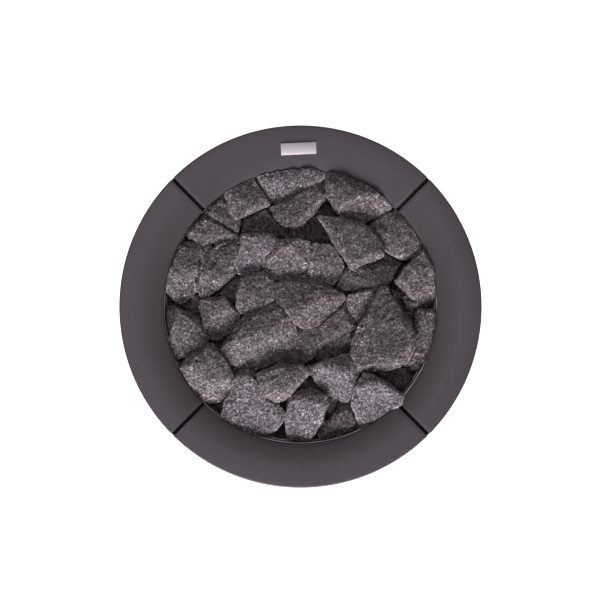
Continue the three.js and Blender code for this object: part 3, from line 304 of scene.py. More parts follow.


# From the lip out to this radius the collar's colour is darkened, a painted shade, and its roughness is
# raised.
PAINTED_SHADE_AND_ROUGHNESS_TO = 214 * MM


def powder_coat():
    """Satin grey powder coat with a slight purple tint and a fine orange peel, and painted shade towards the
    lip.
    """
    n = Nodes("casing_coat")
    fine = n.noise(620, 2.0, 0.55)
    cloud = n.noise(9, 3.0, 0.5)
    tone = n.mix(n.grey_ramp(cloud, 0.3, 0.7), (0.037, 0.028, 0.035), (0.043, 0.033, 0.040))
    mottle = n.mix(n.grey_ramp(fine, 0.3, 0.7), (0.9, 0.9, 0.9), (1.08, 1.08, 1.08))
    colour = n.mix(1.0, tone, mottle, "MULTIPLY")
    radius = n.distance_from_axis()
    # Painted shade: the collar's colour darkens towards the lip.
    painted_shade = n.grey_ramp(radius, LIP_RADIUS, PAINTED_SHADE_AND_ROUGHNESS_TO, 0.55, 1.0)
    colour = n.mix(1.0, colour, n.grey(painted_shade), "MULTIPLY")
    rough = n.math("ADD", n.grey_ramp(n.noise(140, 2.0), 0.3, 0.7, 0.40, 0.48),
                   n.grey_ramp(radius, LIP_RADIUS, PAINTED_SHADE_AND_ROUGHNESS_TO, 0.22, 0.0))
    peel = n.bump(n.noise(420, 3.0, 0.6), 0.12 * MM, 0.5)
    return n.set(colour=colour, rough=rough, normal=peel, specular=0.55)


def black_coat():
    """Matt black coat on frame parts, with a little dust."""
    n = Nodes("black_coat")
    level = 0.003
    dust = n.grey_ramp(n.noise(60, 4.0, 0.6), 0.45, 0.75)
    colour = n.mix(dust, (level, level, level * 1.05), (level * 2.5, level * 2.4, level * 2.4))
    peel = n.bump(n.noise(700, 2.0), 0.08 * MM, 0.5)
    return n.set(colour=colour, rough=0.7, normal=peel, specular=0.08)


def drawn_steel():
    """Bright drawn wire with fine lines and a few heat-browned places."""
    n = Nodes("stainless_wire")
    stain = n.grey_ramp(n.noise(14, 3.0, 0.6), 0.52, 0.72)
    colour = n.mix(stain, (0.50, 0.47, 0.46), (0.40, 0.20, 0.14))
    rough = n.grey_ramp(n.noise(300, 2.0), 0.3, 0.7, 0.30, 0.42)
    lines = n.bump(n.noise(900, 1.0), 0.03 * MM, 0.4)
    return n.set(colour=colour, rough=rough, metal=1.0, normal=lines)


def zinc_sheet(name, light=0.42):
    """Zinc coated sheet with the crystals of the coating."""
    n = Nodes(name)
    grey = n.add("ShaderNodeRGBToBW")
    n.link(n.cells(85), grey.inputs[0])
    low, high = light * 0.85, light * 1.1
    colour = n.mix(grey.outputs[0], (low, low, low * 1.02), (high, high, high * 1.02))
    rough = n.grey_ramp(n.noise(40, 3.0), 0.3, 0.7, 0.35, 0.55)
    return n.set(colour=colour, rough=rough, metal=1.0)


def element_sheath():
    """Heat-darkened sheath of a heating element."""
    n = Nodes("element_sheath")
    heat = n.noise(25, 3.0, 0.6)
    colour = n.mix(n.grey_ramp(heat, 0.35, 0.65), (0.07, 0.06, 0.055), (0.16, 0.12, 0.1))
    rough = n.grey_ramp(heat, 0.3, 0.7, 0.4, 0.6)
    return n.set(colour=colour, rough=rough, metal=0.8, normal=n.bump(n.noise(500), 0.05 * MM, 0.4))


def plastic(name, colour, rough):
    """Moulded plastic with a fine spark-eroded grain."""
    n = Nodes(name)
    lighter = tuple(c * 1.35 for c in colour)
    tone = n.mix(n.grey_ramp(n.noise(50, 2.0), 0.3, 0.7), colour, lighter)
    grain = n.bump(n.noise(1500, 2.0), 0.05 * MM, 0.4)
    level = n.grey_ramp(n.noise(90, 2.0), 0.3, 0.7, rough - 0.05, rough + 0.07)
    return n.set(colour=tone, rough=level, normal=grain)


def badge_metal():
    """Satin brushed plate."""
    n = Nodes("badge_metal")
    stretch = n.add("ShaderNodeMapping")
    n.link(n.place(), stretch.inputs["Vector"])
    stretch.inputs["Scale"].default_value = (60, 2500, 2500)
    lines = n.noise(1.0, 3.0, 0.6, stretch.outputs["Vector"])
    colour = n.mix(n.grey_ramp(lines, 0.3, 0.7), (0.36, 0.32, 0.35), (0.46, 0.41, 0.44))
    return n.set(colour=colour, rough=0.5, metal=0.35, normal=n.bump(lines, 0.02 * MM, 0.3))


def dial_paint():
    """Pale printed marks, a little worn."""
    n = Nodes("dial_paint")
    wear = n.grey_ramp(n.noise(400, 3.0), 0.3, 0.7)
    tone = n.mix(wear, (0.50, 0.50, 0.49), (0.66, 0.66, 0.65))
    return n.set(colour=tone, rough=0.55)


# Painted light: steep faces and split faces are drawn lighter, and level tops and the other faces darker.
STEEP_PAINTED_LIGHT = 1.15
LEVEL_PAINTED_SHADE = 0.88
SPLIT_PAINTED_LIGHT = 1.20
UNSPLIT_PAINTED_SHADE = 0.92


def split_stone(name, tint, light):
    """Split dark rock: a grey ground full of fine crystals, with pale veins; painted highlights on the
    ridges, painted shade in the hollows, and steep and split faces painted lighter than the level tops.
    """
    n = Nodes(name)
    ground = n.grey_ramp(n.noise(32, 5.0, 0.62), 0.3, 0.7, 0.75, 1.22)
    coarse = n.crystals(480, ((0.0, 0.50), (0.45, 0.83), (0.80, 1.18), (0.94, 1.5), (1.0, 2.3)))
    fine = n.crystals(900, ((0.0, 0.35), (0.5, 0.75), (0.85, 1.5), (1.0, 2.6)))
    level = n.math("MULTIPLY", ground, n.math("MULTIPLY", coarse, fine))
    surface = n.add("ShaderNodeNewGeometry")
    facing = n.add("ShaderNodeSeparateXYZ")
    n.link(surface.outputs["Normal"], facing.inputs[0])
    painted_split_light = n.add("ShaderNodeAttribute", attribute_name="painted_split_light")
    shades = (
        n.grey_ramp(n.ridges(26, 4.0, 0.7), 0.0, 0.012, 1.5, 1.0),
        # Painted shade in the hollows and painted highlights on the ridges.
        n.grey_ramp(surface.outputs["Pointiness"], 0.44, 0.58, 0.25, 2.1),
        # Painted light: steep faces lighter, level tops darker.
        n.grey_ramp(facing.outputs["Z"], 0.72, 0.97, STEEP_PAINTED_LIGHT, LEVEL_PAINTED_SHADE),
        # Painted light: the split faces are lighter than the others.
        n.grey_ramp(painted_split_light.outputs["Fac"], 0, 1, UNSPLIT_PAINTED_SHADE, SPLIT_PAINTED_LIGHT),
    )
    for shade_level in shades:
        level = n.math("MULTIPLY", level, shade_level)
    grey = n.add("ShaderNodeCombineColor")
    for channel in range(3):
        n.link(n.math("MULTIPLY", level, light * tint[channel]), grey.inputs[channel])
    rough = n.grey_ramp(coarse, 0.5, 2.5, 0.88, 0.45)
    relief = n.bump(n.ridges(60, 6.0, 0.7), 6.0 * MM, 0.9)
    grain = n.bump(n.noise(520, 4.0, 0.7), 0.9 * MM, 1.0, relief)
    return n.set(colour=grey.outputs[0], rough=rough, normal=grain, specular=0.4)


# ---- casing panels ----

def offset_line(inward):
    """The casing's line of (radius, height) from the lip to the foot, moved inward by a distance."""
    across = RIM_RADIUS - RIM_BEND - LIP_RADIUS
    line = []
    collar_steps, bend_steps, wall_steps = 20, 8, 10
    for i in range(collar_steps + 1):
        part = i / collar_steps
        slope = 2 * LIP_DROP * (1 - part) / across
        tilt = math.hypot(1, slope)
        radius = LIP_RADIUS + part * across + inward * slope / tilt
        height = RIM_HEIGHT - LIP_DROP * (1 - part) ** 2 - inward / tilt
        line.append((max(radius, LIP_RADIUS + inward), height))
    top = RIM_HEIGHT - RIM_BEND
    bend = RIM_BEND - inward
    for i in range(1, bend_steps + 1):
        angle = i / bend_steps * math.pi / 2
        line.append((RIM_RADIUS - RIM_BEND + bend * math.sin(angle), top + bend * math.cos(angle)))
    for i in range(1, wall_steps + 1):
        line.append((RIM_RADIUS - inward, top + i / wall_steps * (CASING_BOTTOM - top)))
    return line


def casing_outline():
    """The closed outline of a panel's sheet: a round lip, the outside, the inside and the lip's flange."""
    outer = offset_line(0)
    outer[0] = (LIP_RADIUS + LIP_ROUND, outer[0][1])
    inner = offset_line(SHEET)[::-1]
    foot = LIP_HEIGHT - LIP_FLANGE
    flange = [(LIP_RADIUS + SHEET, foot), (LIP_RADIUS, foot)]
    corner = (LIP_RADIUS + LIP_ROUND, LIP_HEIGHT - LIP_ROUND)
    lip = []
    for i in range(4):
        angle = math.pi - i / 4 * math.pi / 2
        lip.append((corner[0] + LIP_ROUND * math.cos(angle), corner[1] + LIP_ROUND * math.sin(angle)))
    return lip + outer + inner + flange


def fascia_notch(panel):
    """Sets a cut for the fascia on the front panel and returns the cutter."""
    low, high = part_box("control_fascia")
    low += Vector((-NOTCH_ROOM, -NOTCH_REACH, -NOTCH_REACH))
    high += Vector((NOTCH_ROOM, NOTCH_REACH, NOTCH_ROOM))
    cutter = box_object("notch", low, high)
    mod = panel.modifiers.new("notch", "BOOLEAN")
    mod.object = cutter
    mod.solver = "EXACT"
    return cutter


def casing_panel(side, index, coat):
    """Sweeps the outline over a quarter turn, with half a gap left free along each side."""
    steps = 56
    outline = casing_outline()
    points, faces = [], []
    for j in range(steps + 1):
        for radius, height in outline:
            spare = math.asin(PANEL_GAP / 2 / radius)
            start = GAP_ANGLE + index * QUARTER + spare
            angle = start + j / steps * (QUARTER - 2 * spare)
            points.append((radius * math.cos(angle), radius * math.sin(angle), height))
    count = len(outline)
    for j in range(steps):
        for i in range(count):
            a, b = j * count + i, j * count + (i + 1) % count
            faces.append((a, b, b + count, a + count))
    faces.append(tuple(range(count)))
    faces.append(tuple(steps * count + i for i in reversed(range(count))))
    panel = from_faces(f"panel_{side}", points, faces)
    outward(panel)
    cutter = fascia_notch(panel) if side == "front" else None
    bevel(panel, PANEL_EDGE)
    if cutter:
        bpy.data.objects.remove(cutter)
    shade(panel, 32)
    dress(panel, coat, "casing_coat", "heater", f"casing_panel_{side}")


def gap_shade_strip(index, material):
    """A near-black strip in the gap between two panels, which stands in for the shade in the gap: painted
    shade.
    """
    bottom, top = CASING_BOTTOM + 1 * MM, RIM_HEIGHT - SHEET - 0.3 * MM
    lie = Matrix.Rotation(GAP_ANGLE + index * QUARTER, 4, "Z")
    place = Matrix.Translation((RIM_RADIUS - STRIP_INSET - STRIP_DEPTH / 2, 0, (bottom + top) / 2))
    size = Matrix.Diagonal((STRIP_DEPTH, STRIP_WIDTH, top - bottom, 1))
    work = bmesh.new()
    bmesh.ops.create_cube(work, size=1, matrix=lie @ place @ size)
    strip = object_of(work, f"gap_shade_strip_{index + 1}")
    bevel(strip, 0.4 * MM)
    shade(strip, 40)
    dress(strip, material, "black_coat", "heater")


# ---- cage ----

def skin(work, rows):
    """Joins rows of corners, all of one length, into a tube that is closed at its ends."""
    count = len(rows[0])
    for near, far in zip(rows, rows[1:]):
        for i in range(count):
            k = (i + 1) % count
            work.faces.new((near[i], near[k], far[k], far[i]))
    work.faces.new(rows[0][::-1])
    work.faces.new(rows[-1])


def wire_arc(work, radius, height, start, end):
    """A bent round wire from one angle to another."""
    steps, sides = 40, 12
    rows = []
    for j in range(steps + 1):
        angle = start + j / steps * (end - start)
        row = []
        for i in range(sides):
            turn = i / sides * 2 * math.pi
            r = radius + WIRE_RADIUS * math.cos(turn)
            level = height + WIRE_RADIUS * math.sin(turn)
            row.append(work.verts.new((r * math.cos(angle), r * math.sin(angle), level)))
        rows.append(row)
    skin(work, rows)


def cage_quarter(side, index, steel):
    """The bent wires of a quarter of the cage, and the uprights outside them."""
    node = f"stone_cage_{side}"
    low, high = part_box(node)
    bottom, top = low.z + LOWEST_RING, high.z - HIGHEST_RING
    start = GAP_ANGLE + index * QUARTER
    spare = QUARTER_ROOM / CAGE_RADIUS
    work = bmesh.new()
    for i in range(CAGE_RINGS):
        height = bottom + i / (CAGE_RINGS - 1) * (top - bottom)
        wire_arc(work, CAGE_RADIUS, height, start + spare, start + QUARTER - spare)
    for i in range(UPRIGHTS_PER_QUARTER):
        angle = start + (i + 0.5) / UPRIGHTS_PER_QUARTER * QUARTER
        x, y = UPRIGHT_RADIUS * math.cos(angle), UPRIGHT_RADIUS * math.sin(angle)
        middle = Matrix.Translation((x, y, (low.z + high.z) / 2))
        bmesh.ops.create_cone(work, cap_ends=True, segments=14, radius1=WIRE_RADIUS, radius2=WIRE_RADIUS,
                              depth=high.z - low.z, matrix=middle)
    cage = object_of(work, f"cage_wires_{side}")
    outward(cage)
    shade(cage, 40)
    dress(cage, steel, "stainless_wire", "heater", node)


# ---- stones ----

# Large odd numbers: the first set makes a key of a grid cell and a seed, the second is the splitmix64 hash.
CELL_KEYS = np.array([73856093, 19349663, 83492791], dtype=np.uint64)
SEED_KEY = 2654435761
HASH_STEP = np.uint64(0x9E3779B97F4A7C15)
HASH_ROUNDS = ((np.uint64(30), np.uint64(0xBF58476D1CE4E5B9)), (np.uint64(27), np.uint64(0x94D049BB133111EB)))


def cell_random(cell, seed, count):
    """Random numbers from 0 to 1, the same each time for the same grid cell: one row per cell."""
    key = (cell.astype(np.uint64) * CELL_KEYS).sum(axis=1, dtype=np.uint64) + np.uint64(seed * SEED_KEY)
    rows = []
    for _ in range(count):
        key = key + HASH_STEP
        mixed = key
        for shift, factor in HASH_ROUNDS:
            mixed = (mixed ^ (mixed >> shift)) * factor
        mixed = mixed ^ (mixed >> np.uint64(31))
        rows.append((mixed >> np.uint64(11)).astype(np.float64) / 2.0 ** 53)
    return np.stack(rows, axis=1)


def facets(points, size, seed, tilt):
    """Broken flats that meet in sharp ridges and creases: about 0 in the low corners, 1 on the ridges."""
    turn = np.linalg.qr(np.random.default_rng(seed).normal(size=(3, 3)))[0]
    points = points @ turn / size
    cell = np.floor(points).astype(np.int64)
    least = np.full(len(points), np.inf)
    for step in itertools.product((-1, 0, 1), repeat=3):
        near = cell + np.array(step)
        chance = cell_random(near, seed, 6)
        away = points - near - chance[:, :3]
        slope = (chance[:, 3:] - 0.5) * 2 * tilt
        least = np.minimum(least, np.abs(away).sum(axis=1) + (away * slope).sum(axis=1))
    return np.clip(least, 0, 1)


def mesh_points(mesh):
    points = np.empty(len(mesh.vertices) * 3)
    normals = np.empty(len(mesh.vertices) * 3)
    mesh.vertices.foreach_get("co", points)
    mesh.vertices.foreach_get("normal", normals)
    return points.reshape(-1, 3), normals.reshape(-1, 3)


def set_points(mesh, points):
    mesh.vertices.foreach_set("co", points.ravel())
    mesh.update()


# Split faces of the stones: where the edge of the face runs on the stone's top (mm), the direction it
# faces (degrees from +X) and how steeply it falls (degrees).
SPLIT_FACES = {
    "centre": ((14, 5, -50, 36), (-6, -20, -110, 55)),
    "largest": ((-55, -36, -72, 30), (-30, -66, -60, 55)),
    "broad_right": ((105, -75, -86, 52), (142, -62, -35, 52), (78, -60, 165, 40)),
    "front_knob": ((-30, -112, -95, 50), (-5, -103, -50, 55)),
    "left_front": ((-132, -90, -128, 42), (-106, -94, -72, 40)),
    "slab_right": ((88, 66, -64, 52), (56, 70, -150, 50), (40, 108, 120, 25)),
    "light_centre": ((-20, 84, -95, 24), (9, 66, 5, 50), (-36, 62, 155, 50)),
    "back_right": ((75, 143, -80, 38), (40, 165, 170, 35)),
    "back_centre": ((-14, 170, -98, 34), (-44, 160, -160, 45)),
    "back_left": ((-66, 134, -64, 50), (-96, 140, 165, 30)),
    "ridge_back": ((13, 125, -45, 55), (-20, 120, -120, 25)),
    "light_left": ((-58, 91, -100, 25), (-78, 66, 180, 40), (-42, 66, -25, 50)),
    "small_back": ((20, 70, -42, 28), (34, 40, -95, 62), (14, 62, 185, 50)),
    "cracked_left": ((-52, 2, -62, 55), (-76, 10, -170, 35)),
    "right_edge": ((147, 27, -135, 45), (168, 29, -62, 45)),
    "front_right": ((95, -100, -90, 22), (110, -142, -52, 50), (78, -120, 175, 40)),
    "front_wedge": ((42, -85, -108, 30), (64, -72, 40, 25)),
    "front_centre": ((8, -122, -92, 22), (-14, -140, -165, 40)),
    "front_left": ((-65, -100, -88, 13), (-60, -164, -95, 50)),
    "pebble_right": ((92, -4, -62, 26),),
    "right_back": ((138, 70, -98, 50), (104, 98, -150, 30)),
    "left_big": ((-110, 45, -130, 16), (-84, 70, 0, 30), (-127, 40, 175, 50)),
    "left_middle": ((-112, 0, -62, 28), (-122, -20, -160, 30)),
    "left_edge": ((-146, 50, -60, 30), (-168, 30, -140, 30), (-131, 40, 5, 50)),
    "left_light": ((-150, -4, -95, 13),),
}


def cut_off(work, point, away):
    """Cuts a closed mesh by a plane, keeps what is behind it and closes the cut."""
    geometry = work.verts[:] + work.edges[:] + work.faces[:]
    result = bmesh.ops.bisect_plane(work, geom=geometry, plane_co=point, plane_no=away, clear_outer=True)
    rim = [e for e in result["geom_cut"] if isinstance(e, bmesh.types.BMEdge)]
    if rim:
        bmesh.ops.triangle_fill(work, use_beauty=True, edges=rim)


def direction(turn, rise):
    """A unit vector: turn is the angle from +X, rise the angle above the level."""
    return Vector((math.cos(turn) * math.cos(rise), math.sin(turn) * math.cos(rise), math.sin(rise)))


def cut_back(work, away, depth):
    """Cuts a stone by a plane that lies at a depth behind its farthest point in a direction."""
    reach = max(v.co.dot(away) for v in work.verts)
    cut_off(work, away * (reach - depth), away)


# How many small corners are broken off a stone near its top, and how deep they go.
CHIPS = 9
CHIP_DEPTH = 3.4 * MM


def split(work, faces, rng):
    """Gives a stone its split faces, then its chips. Returns the planes of the split faces."""
    tree = BVHTree.FromBMesh(work)
    planes = []
    for x, y, facing, fall in faces:
        hit = tree.ray_cast(Vector((x * MM, y * MM, 1)), Vector((0, 0, -1)))[0]
        if hit:
            planes.append((hit, direction(math.radians(facing), math.radians(90 - fall))))
            cut_off(work, *planes[-1])
    for _ in range(CHIPS):
        rise = rng.uniform(0.85, 1.42)
        away = direction(rng.uniform(0, 2 * math.pi), rise)
        cut_back(work, away, CHIP_DEPTH * rng.uniform(0.4, 1.0))
    return planes


# Small rocks in the gaps under the loose stones: along the lip, then all over the well. Each row gives how
# many there are, between which radii they lie, and how far under the lip their tops are.
RUBBLE_BY_LIP = (26, (150 * MM, 170 * MM), (4 * MM, 16 * MM))
RUBBLE_IN_WELL = (40, (10 * MM, 150 * MM), (14 * MM, 30 * MM))
RUBBLE_SIZE = (34 * MM, 24 * MM, 30 * MM)
RUBBLE_SEED = 31
RUBBLE_CUTS = 7
# Where the wires of the cage show between the stones and the lip: degrees from +X. No rubble lies there.
WIRES_SHOW = (130, 178, 203, 230, 259, 292, 325)
SHOW_WIDTH = 7


def add_pebble(work, shape, rng):
    """Adds a block with some of its corners cut off."""
    rock = bmesh.new()
    bmesh.ops.create_cube(rock, size=1, matrix=shape)
    for _ in range(RUBBLE_CUTS):
        away = direction(rng.uniform(0, 2 * math.pi), rng.uniform(0.0, 1.1))
        cut_back(rock, away, rng.uniform(2, 6) * MM)
    mesh = bpy.data.meshes.new("pebble")
    rock.to_mesh(mesh)
    rock.free()
    work.from_mesh(mesh)
    bpy.data.meshes.remove(mesh)


def add_rubble(work):
    rng = np.random.default_rng(RUBBLE_SEED)
    for row in (RUBBLE_BY_LIP, RUBBLE_IN_WELL):
        count, (near, far), (high, low) = row
        for i in range(count):
            turn = (i + rng.uniform(-0.3, 0.3)) / count * 2 * math.pi
            radius = math.sqrt(rng.uniform(near ** 2, far ** 2))
            size = rng.uniform(0.7, 1.0, 3) * RUBBLE_SIZE
            top = LIP_HEIGHT - rng.uniform(high, low)
            place = Vector((radius * math.cos(turn), radius * math.sin(turn), top - size[2] / 2))
            swing = Matrix.Rotation(rng.uniform(0, math.pi), 4, "Z")
            lean = Matrix.Rotation(rng.uniform(-0.4, 0.4), 4, "X")
            degrees = math.degrees(turn) % 360
            if row is RUBBLE_BY_LIP and any(abs(degrees - show) < SHOW_WIDTH for show in WIRES_SHOW):
                continue
            add_pebble(work, Matrix.Translation(place) @ swing @ lean @ Matrix.Diagonal((*size, 1)), rng)


# The stones along the edge lie up against the lip.
SPREAD_FROM = 140 * MM
SPREAD_TO = 178 * MM
SPREAD = 4 * MM
# No stone passes the lip or stands higher than the frame, by these margins; above the lip a stone may lie a
# little over the collar.
LIP_ROOM = 0.8 * MM
CLEAR_OF_LIP = 1.5 * MM
OVER_COLLAR = 5 * MM
TOP_ROOM = 0.05 * MM


def keep_in_well(points):
    """Spreads the outer stones up to the lip, and holds all of them inside it and under the frame's top."""
    side = np.hypot(points[:, 0], points[:, 1])
    spread = np.clip((side - SPREAD_FROM) / (SPREAD_TO - SPREAD_FROM), 0, 1)
    points[:, :2] *= (1 + SPREAD * spread ** 2 / np.maximum(side, SPREAD_FROM))[:, None]
    side = np.hypot(points[:, 0], points[:, 1])
    low = points[:, 2] < LIP_HEIGHT + CLEAR_OF_LIP
    limit = np.where(low, LIP_RADIUS - LIP_ROOM, LIP_RADIUS + OVER_COLLAR)
    share = np.minimum(1, limit / np.maximum(side, 1e-6))
    points[:, :2] *= share[:, None]
    points[:, 2] = np.minimum(points[:, 2], cad_bounds[1].z - TOP_ROOM)
    return points


# A point this near to the plane of a split face is on that face.
FACE_REACH = 1.6 * MM


def mark_painted_split_light(mesh, planes):
    """Writes which points lie on a split face, from 0 to 1, for the painted light that the rock material puts
    there.
    """
    points, _ = mesh_points(mesh)
    painted_split_light = np.zeros(len(points))
    for place, away in planes:
        gap = np.abs((points - np.array(place)) @ np.array(away))
        painted_split_light = np.maximum(painted_split_light, np.clip(2 - gap / FACE_REACH, 0, 1))
    mesh.attributes.new("painted_split_light", "FLOAT", "POINT").data.foreach_set("value", painted_split_light)


# The broken flats of a split surface, from large to small: their size, how much they stand and how much
# they lean. MEAN_FACET is what facets() gives on average.
SPLIT_SIZES = ((28 * MM, 3.0 * MM, 0.8), (12 * MM, 1.6 * MM, 0.8), (5 * MM, 1.1 * MM, 0.7))
MEAN_FACET = 0.55
# Rock is shaded smooth only across edges flatter than this, in degrees.
STONE_CREASE = 12
STONE_GROWTH = 0.8 * MM
FINE_VOXEL = 1.2 * MM
DRUM_VOXEL = 8 * MM
# The fill is cut this far below the lip into its top and its drum.
SEAM_DEPTH = 60 * MM
FILL_SEED = 97


def split_surface(obj, voxel, seed, sizes, grow=0.0, planes=()):
    """Fine even mesh with the hollows, ridges and grain of a split face."""
    remesh = obj.modifiers.new("even", "REMESH")
    remesh.mode = "VOXEL"
    remesh.voxel_size = voxel
    apply_all(obj)
    mark_painted_split_light(obj.data, planes)
    for index, (size, depth, tilt) in enumerate(sizes):
        points, normals = mesh_points(obj.data)
        height = facets(points, size, seed * 11 + index, tilt) - MEAN_FACET
        set_points(obj.data, points + normals * (height * depth + grow)[:, None])
        grow = 0.0
    points, _ = mesh_points(obj.data)
    set_points(obj.data, keep_in_well(points))


# The tint and the level of the four rock materials, from dark to light.
ROCK_TONES = (
    ((1.19, 0.99, 1.02), 0.078),
    ((1.16, 0.99, 1.05), 0.083),
    ((1.18, 0.99, 1.03), 0.090),
    ((1.15, 0.99, 1.07), 0.094),
)
# Painted light: these stones get the lightest rock material and the next ones the second lightest, for the
# light that their tilt takes.
PAINTED_LIGHT_STONES = (
    "light_left", "back_centre", "small_back", "front_right", "front_wedge", "front_centre",
    "front_left", "left_light",
)
PAINTED_HALF_LIGHT_STONES = (
    "light_centre", "pebble_right", "left_front", "right_edge", "front_knob", "right_back",
    "left_middle",
)


def tone_of(name, index):
    """Which of the rock materials a stone has: the two lighter ones are painted light on the stones listed
    for them, and the two dark ones are taken in turn.
    """
    if name in PAINTED_LIGHT_STONES:
        return 3
    if name in PAINTED_HALF_LIGHT_STONES:
        return 2
    return index % 2


def loose_stone(node, seed, voxel):
    """A stone of the frame, stone_NN_NAME, split, chipped and grown a little into the gaps round it."""
    rock = copy_of(node, f"rock_{node[6:]}")
    work = bmesh.new()
    work.from_mesh(rock.data)
    planes = split(work, SPLIT_FACES[node[9:]], np.random.default_rng(seed))
    work.to_mesh(rock.data)
    work.free()
    split_surface(rock, voxel, seed, SPLIT_SIZES, STONE_GROWTH, planes)
    shade(rock, STONE_CREASE)
    return rock


def fill_part(name, above, voxel, sizes):
    """The part of the fill above its seam, with the rubble, or the part below."""
    rock = copy_of("stone_fill", name)
    work = bmesh.new()
    work.from_mesh(rock.data)
    cut_off(work, (0, 0, LIP_HEIGHT - SEAM_DEPTH), (0, 0, -1 if above else 1))
    if above:
        add_rubble(work)
    work.to_mesh(rock.data)
    work.free()
    split_surface(rock, voxel, FILL_SEED, sizes)
    shade(rock, STONE_CREASE)
    return rock


def stones():
    """The loose stones, then the fill: its visible top is nearly as fine as they are, its drum is coarse."""
    materials = []
    for index, (tint, light) in enumerate(ROCK_TONES):
        materials.append(split_stone(f"split_stone_{index + 1}", tint, light))
    voxel = FINE_VOXEL
    loose = sorted(n for n in nodes if n.startswith("stone_") and n[6:8].isdigit())
    for index, node in enumerate(loose):
        rock = loose_stone(node, index + 1, voxel)
        dress(rock, materials[tone_of(node[9:], index)], "split_stone", "heater", node)
    top = fill_part("rock_fill_top", True, voxel * 1.2, SPLIT_SIZES)
    dress(top, materials[0], "split_stone", "heater", "stone_fill")
    drum = fill_part("rock_fill_drum", False, DRUM_VOXEL, SPLIT_SIZES[:1])
    dress(drum, materials[0], "split_stone", "heater", "stone_fill")


# ---- badge, controls and hidden parts: the CAD shapes with their edges broken ----

def badge(metal):
    plate = copy_of("badge_plate", "badge")
    bevel(plate, 0.35 * MM, 3)
    shade(plate, 40)
    dress(plate, metal, "badge_metal", "heater", "badge_plate")


def refined(node, material, slot, body="heater", width=0.4 * MM, degrees=35):
    piece = copy_of(node, f"{node}_fine")
    bevel(piece, width)
    shade(piece, degrees)
    dress(piece, material, slot, body, node)


# ---- screws and dials ----

def finish_detail(work, name, material, slot):
    piece = object_of(work, name)
    outward(piece)
    shade(piece, 30)
    dress(piece, material, slot, "heater")


SCREW_RADIUS = 3.4 * MM
SCREW_STAND = 1.3 * MM
SCREW_SIDES = 24
# Rings of a screw head from its rim to the bottom of its socket: radius and height as shares, and whether
# the ring is a hexagon.
SCREW_RINGS = ((1.0, 0.0, False), (1.0, 0.45, False), (0.82, 1.0, False), (0.5, 1.0, True), (0.5, 0.2, True))
PANEL_SCREW_HEIGHTS = (90 * MM, 370 * MM, 650 * MM)
PANEL_SCREW_ANGLE = math.radians(3.4)
# How far the fascia's screws are from its sides, and from its top and bottom.
FASCIA_SCREW_INSET = (6 * MM, 6.5 * MM)


def add_screw(work, place, outward_way):
    """A pan head with a hexagon socket; outward_way is the direction that the head faces."""
    turn = Vector(outward_way).to_track_quat("Z", "Y")
    rows = []
    for share, height, hexagon in SCREW_RINGS:
        row = []
        for i in range(SCREW_SIDES):
            angle = i / SCREW_SIDES * 2 * math.pi
            radius = SCREW_RADIUS * share
            if hexagon:
                radius *= math.cos(math.pi / 6) / math.cos(angle % (math.pi / 3) - math.pi / 6)
            point = Vector((radius * math.cos(angle), radius * math.sin(angle), SCREW_STAND * height))
            row.append(work.verts.new(Vector(place) + turn @ point))
        rows.append(row)
    skin(work, rows)


def screws(steel):
    """Three screws beside each edge of each panel, and one in each corner of the fascia."""
    work = bmesh.new()
    for index in range(4):
        for side in (-1, 1):
            angle = GAP_ANGLE + index * QUARTER + side * PANEL_SCREW_ANGLE
            way = (math.cos(angle), math.sin(angle), 0)
            for height in PANEL_SCREW_HEIGHTS:
                add_screw(work, (RIM_RADIUS * way[0], RIM_RADIUS * way[1], height), way)
    low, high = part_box("control_fascia")
    across, along = FASCIA_SCREW_INSET
    for x in (low.x + across, high.x - across):
        for z in (low.z + along, high.z - along):
            add_screw(work, (x, low.y, z), (0, -1, 0))
    finish_detail(work, "screws", steel, "stainless_wire")


# Width, thickness and length of a long tick; a short one has SHORT_TICK of its length.
TICK = (0.9 * MM, 0.15 * MM, 2.6 * MM)
SHORT_TICK = 0.55
TICK_RADIUS = 21.5 * MM


def dial(knob, turn, ticks, paint):
    """Ticks on the fascia round a knob, over the degrees that it turns; every third one is long."""
    low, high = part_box(knob)
    x, z = (low.x + high.x) / 2, (low.z + high.z) / 2
    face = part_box("control_fascia")[0].y
    work = bmesh.new()
    for i in range(ticks):
        angle = math.radians(turn) * i / (ticks - 1)
        length = TICK[2] * (1.0 if i % 3 == 0 else SHORT_TICK)
        lie = Matrix.Translation((x, face - TICK[1] / 2, z)) @ Matrix.Rotation(angle, 4, "Y")
        shape = lie @ Matrix.Translation((0, 0, TICK_RADIUS)) @ Matrix.Diagonal((TICK[0], TICK[1], length, 1))
        bmesh.ops.create_cube(work, size=1, matrix=shape)
    finish_detail(work, f"{knob}_scale", paint, "badge_metal")


# ---- floor, light and camera ----

FLOOR_REACH = 40
FLOOR_GLOW = 1.0
WORLD_LIGHT = 0.32
WORLD_COLOUR = (1.0, 0.97, 0.98)
# Each lamp: its name, place, size, power and colour. Both face the middle of the stones.
LAMPS = (
    ("key", (-0.2, -2.4, 1.9), (2.0, 1.3), 142, (0.98, 0.96, 1.0)),
    ("top", (-0.45, 0.12, 3.0), (1.3, 1.3), 8, (1.0, 0.92, 0.98)),
)
# The camera stands on the heater's axis, this far above the lip.
CAMERA_ABOVE_LIP = 1.40
CAMERA_LENS = 63.14
CAMERA_SENSOR = 36
CAMERA_SHIFT = (-0.0008, 0.0112)


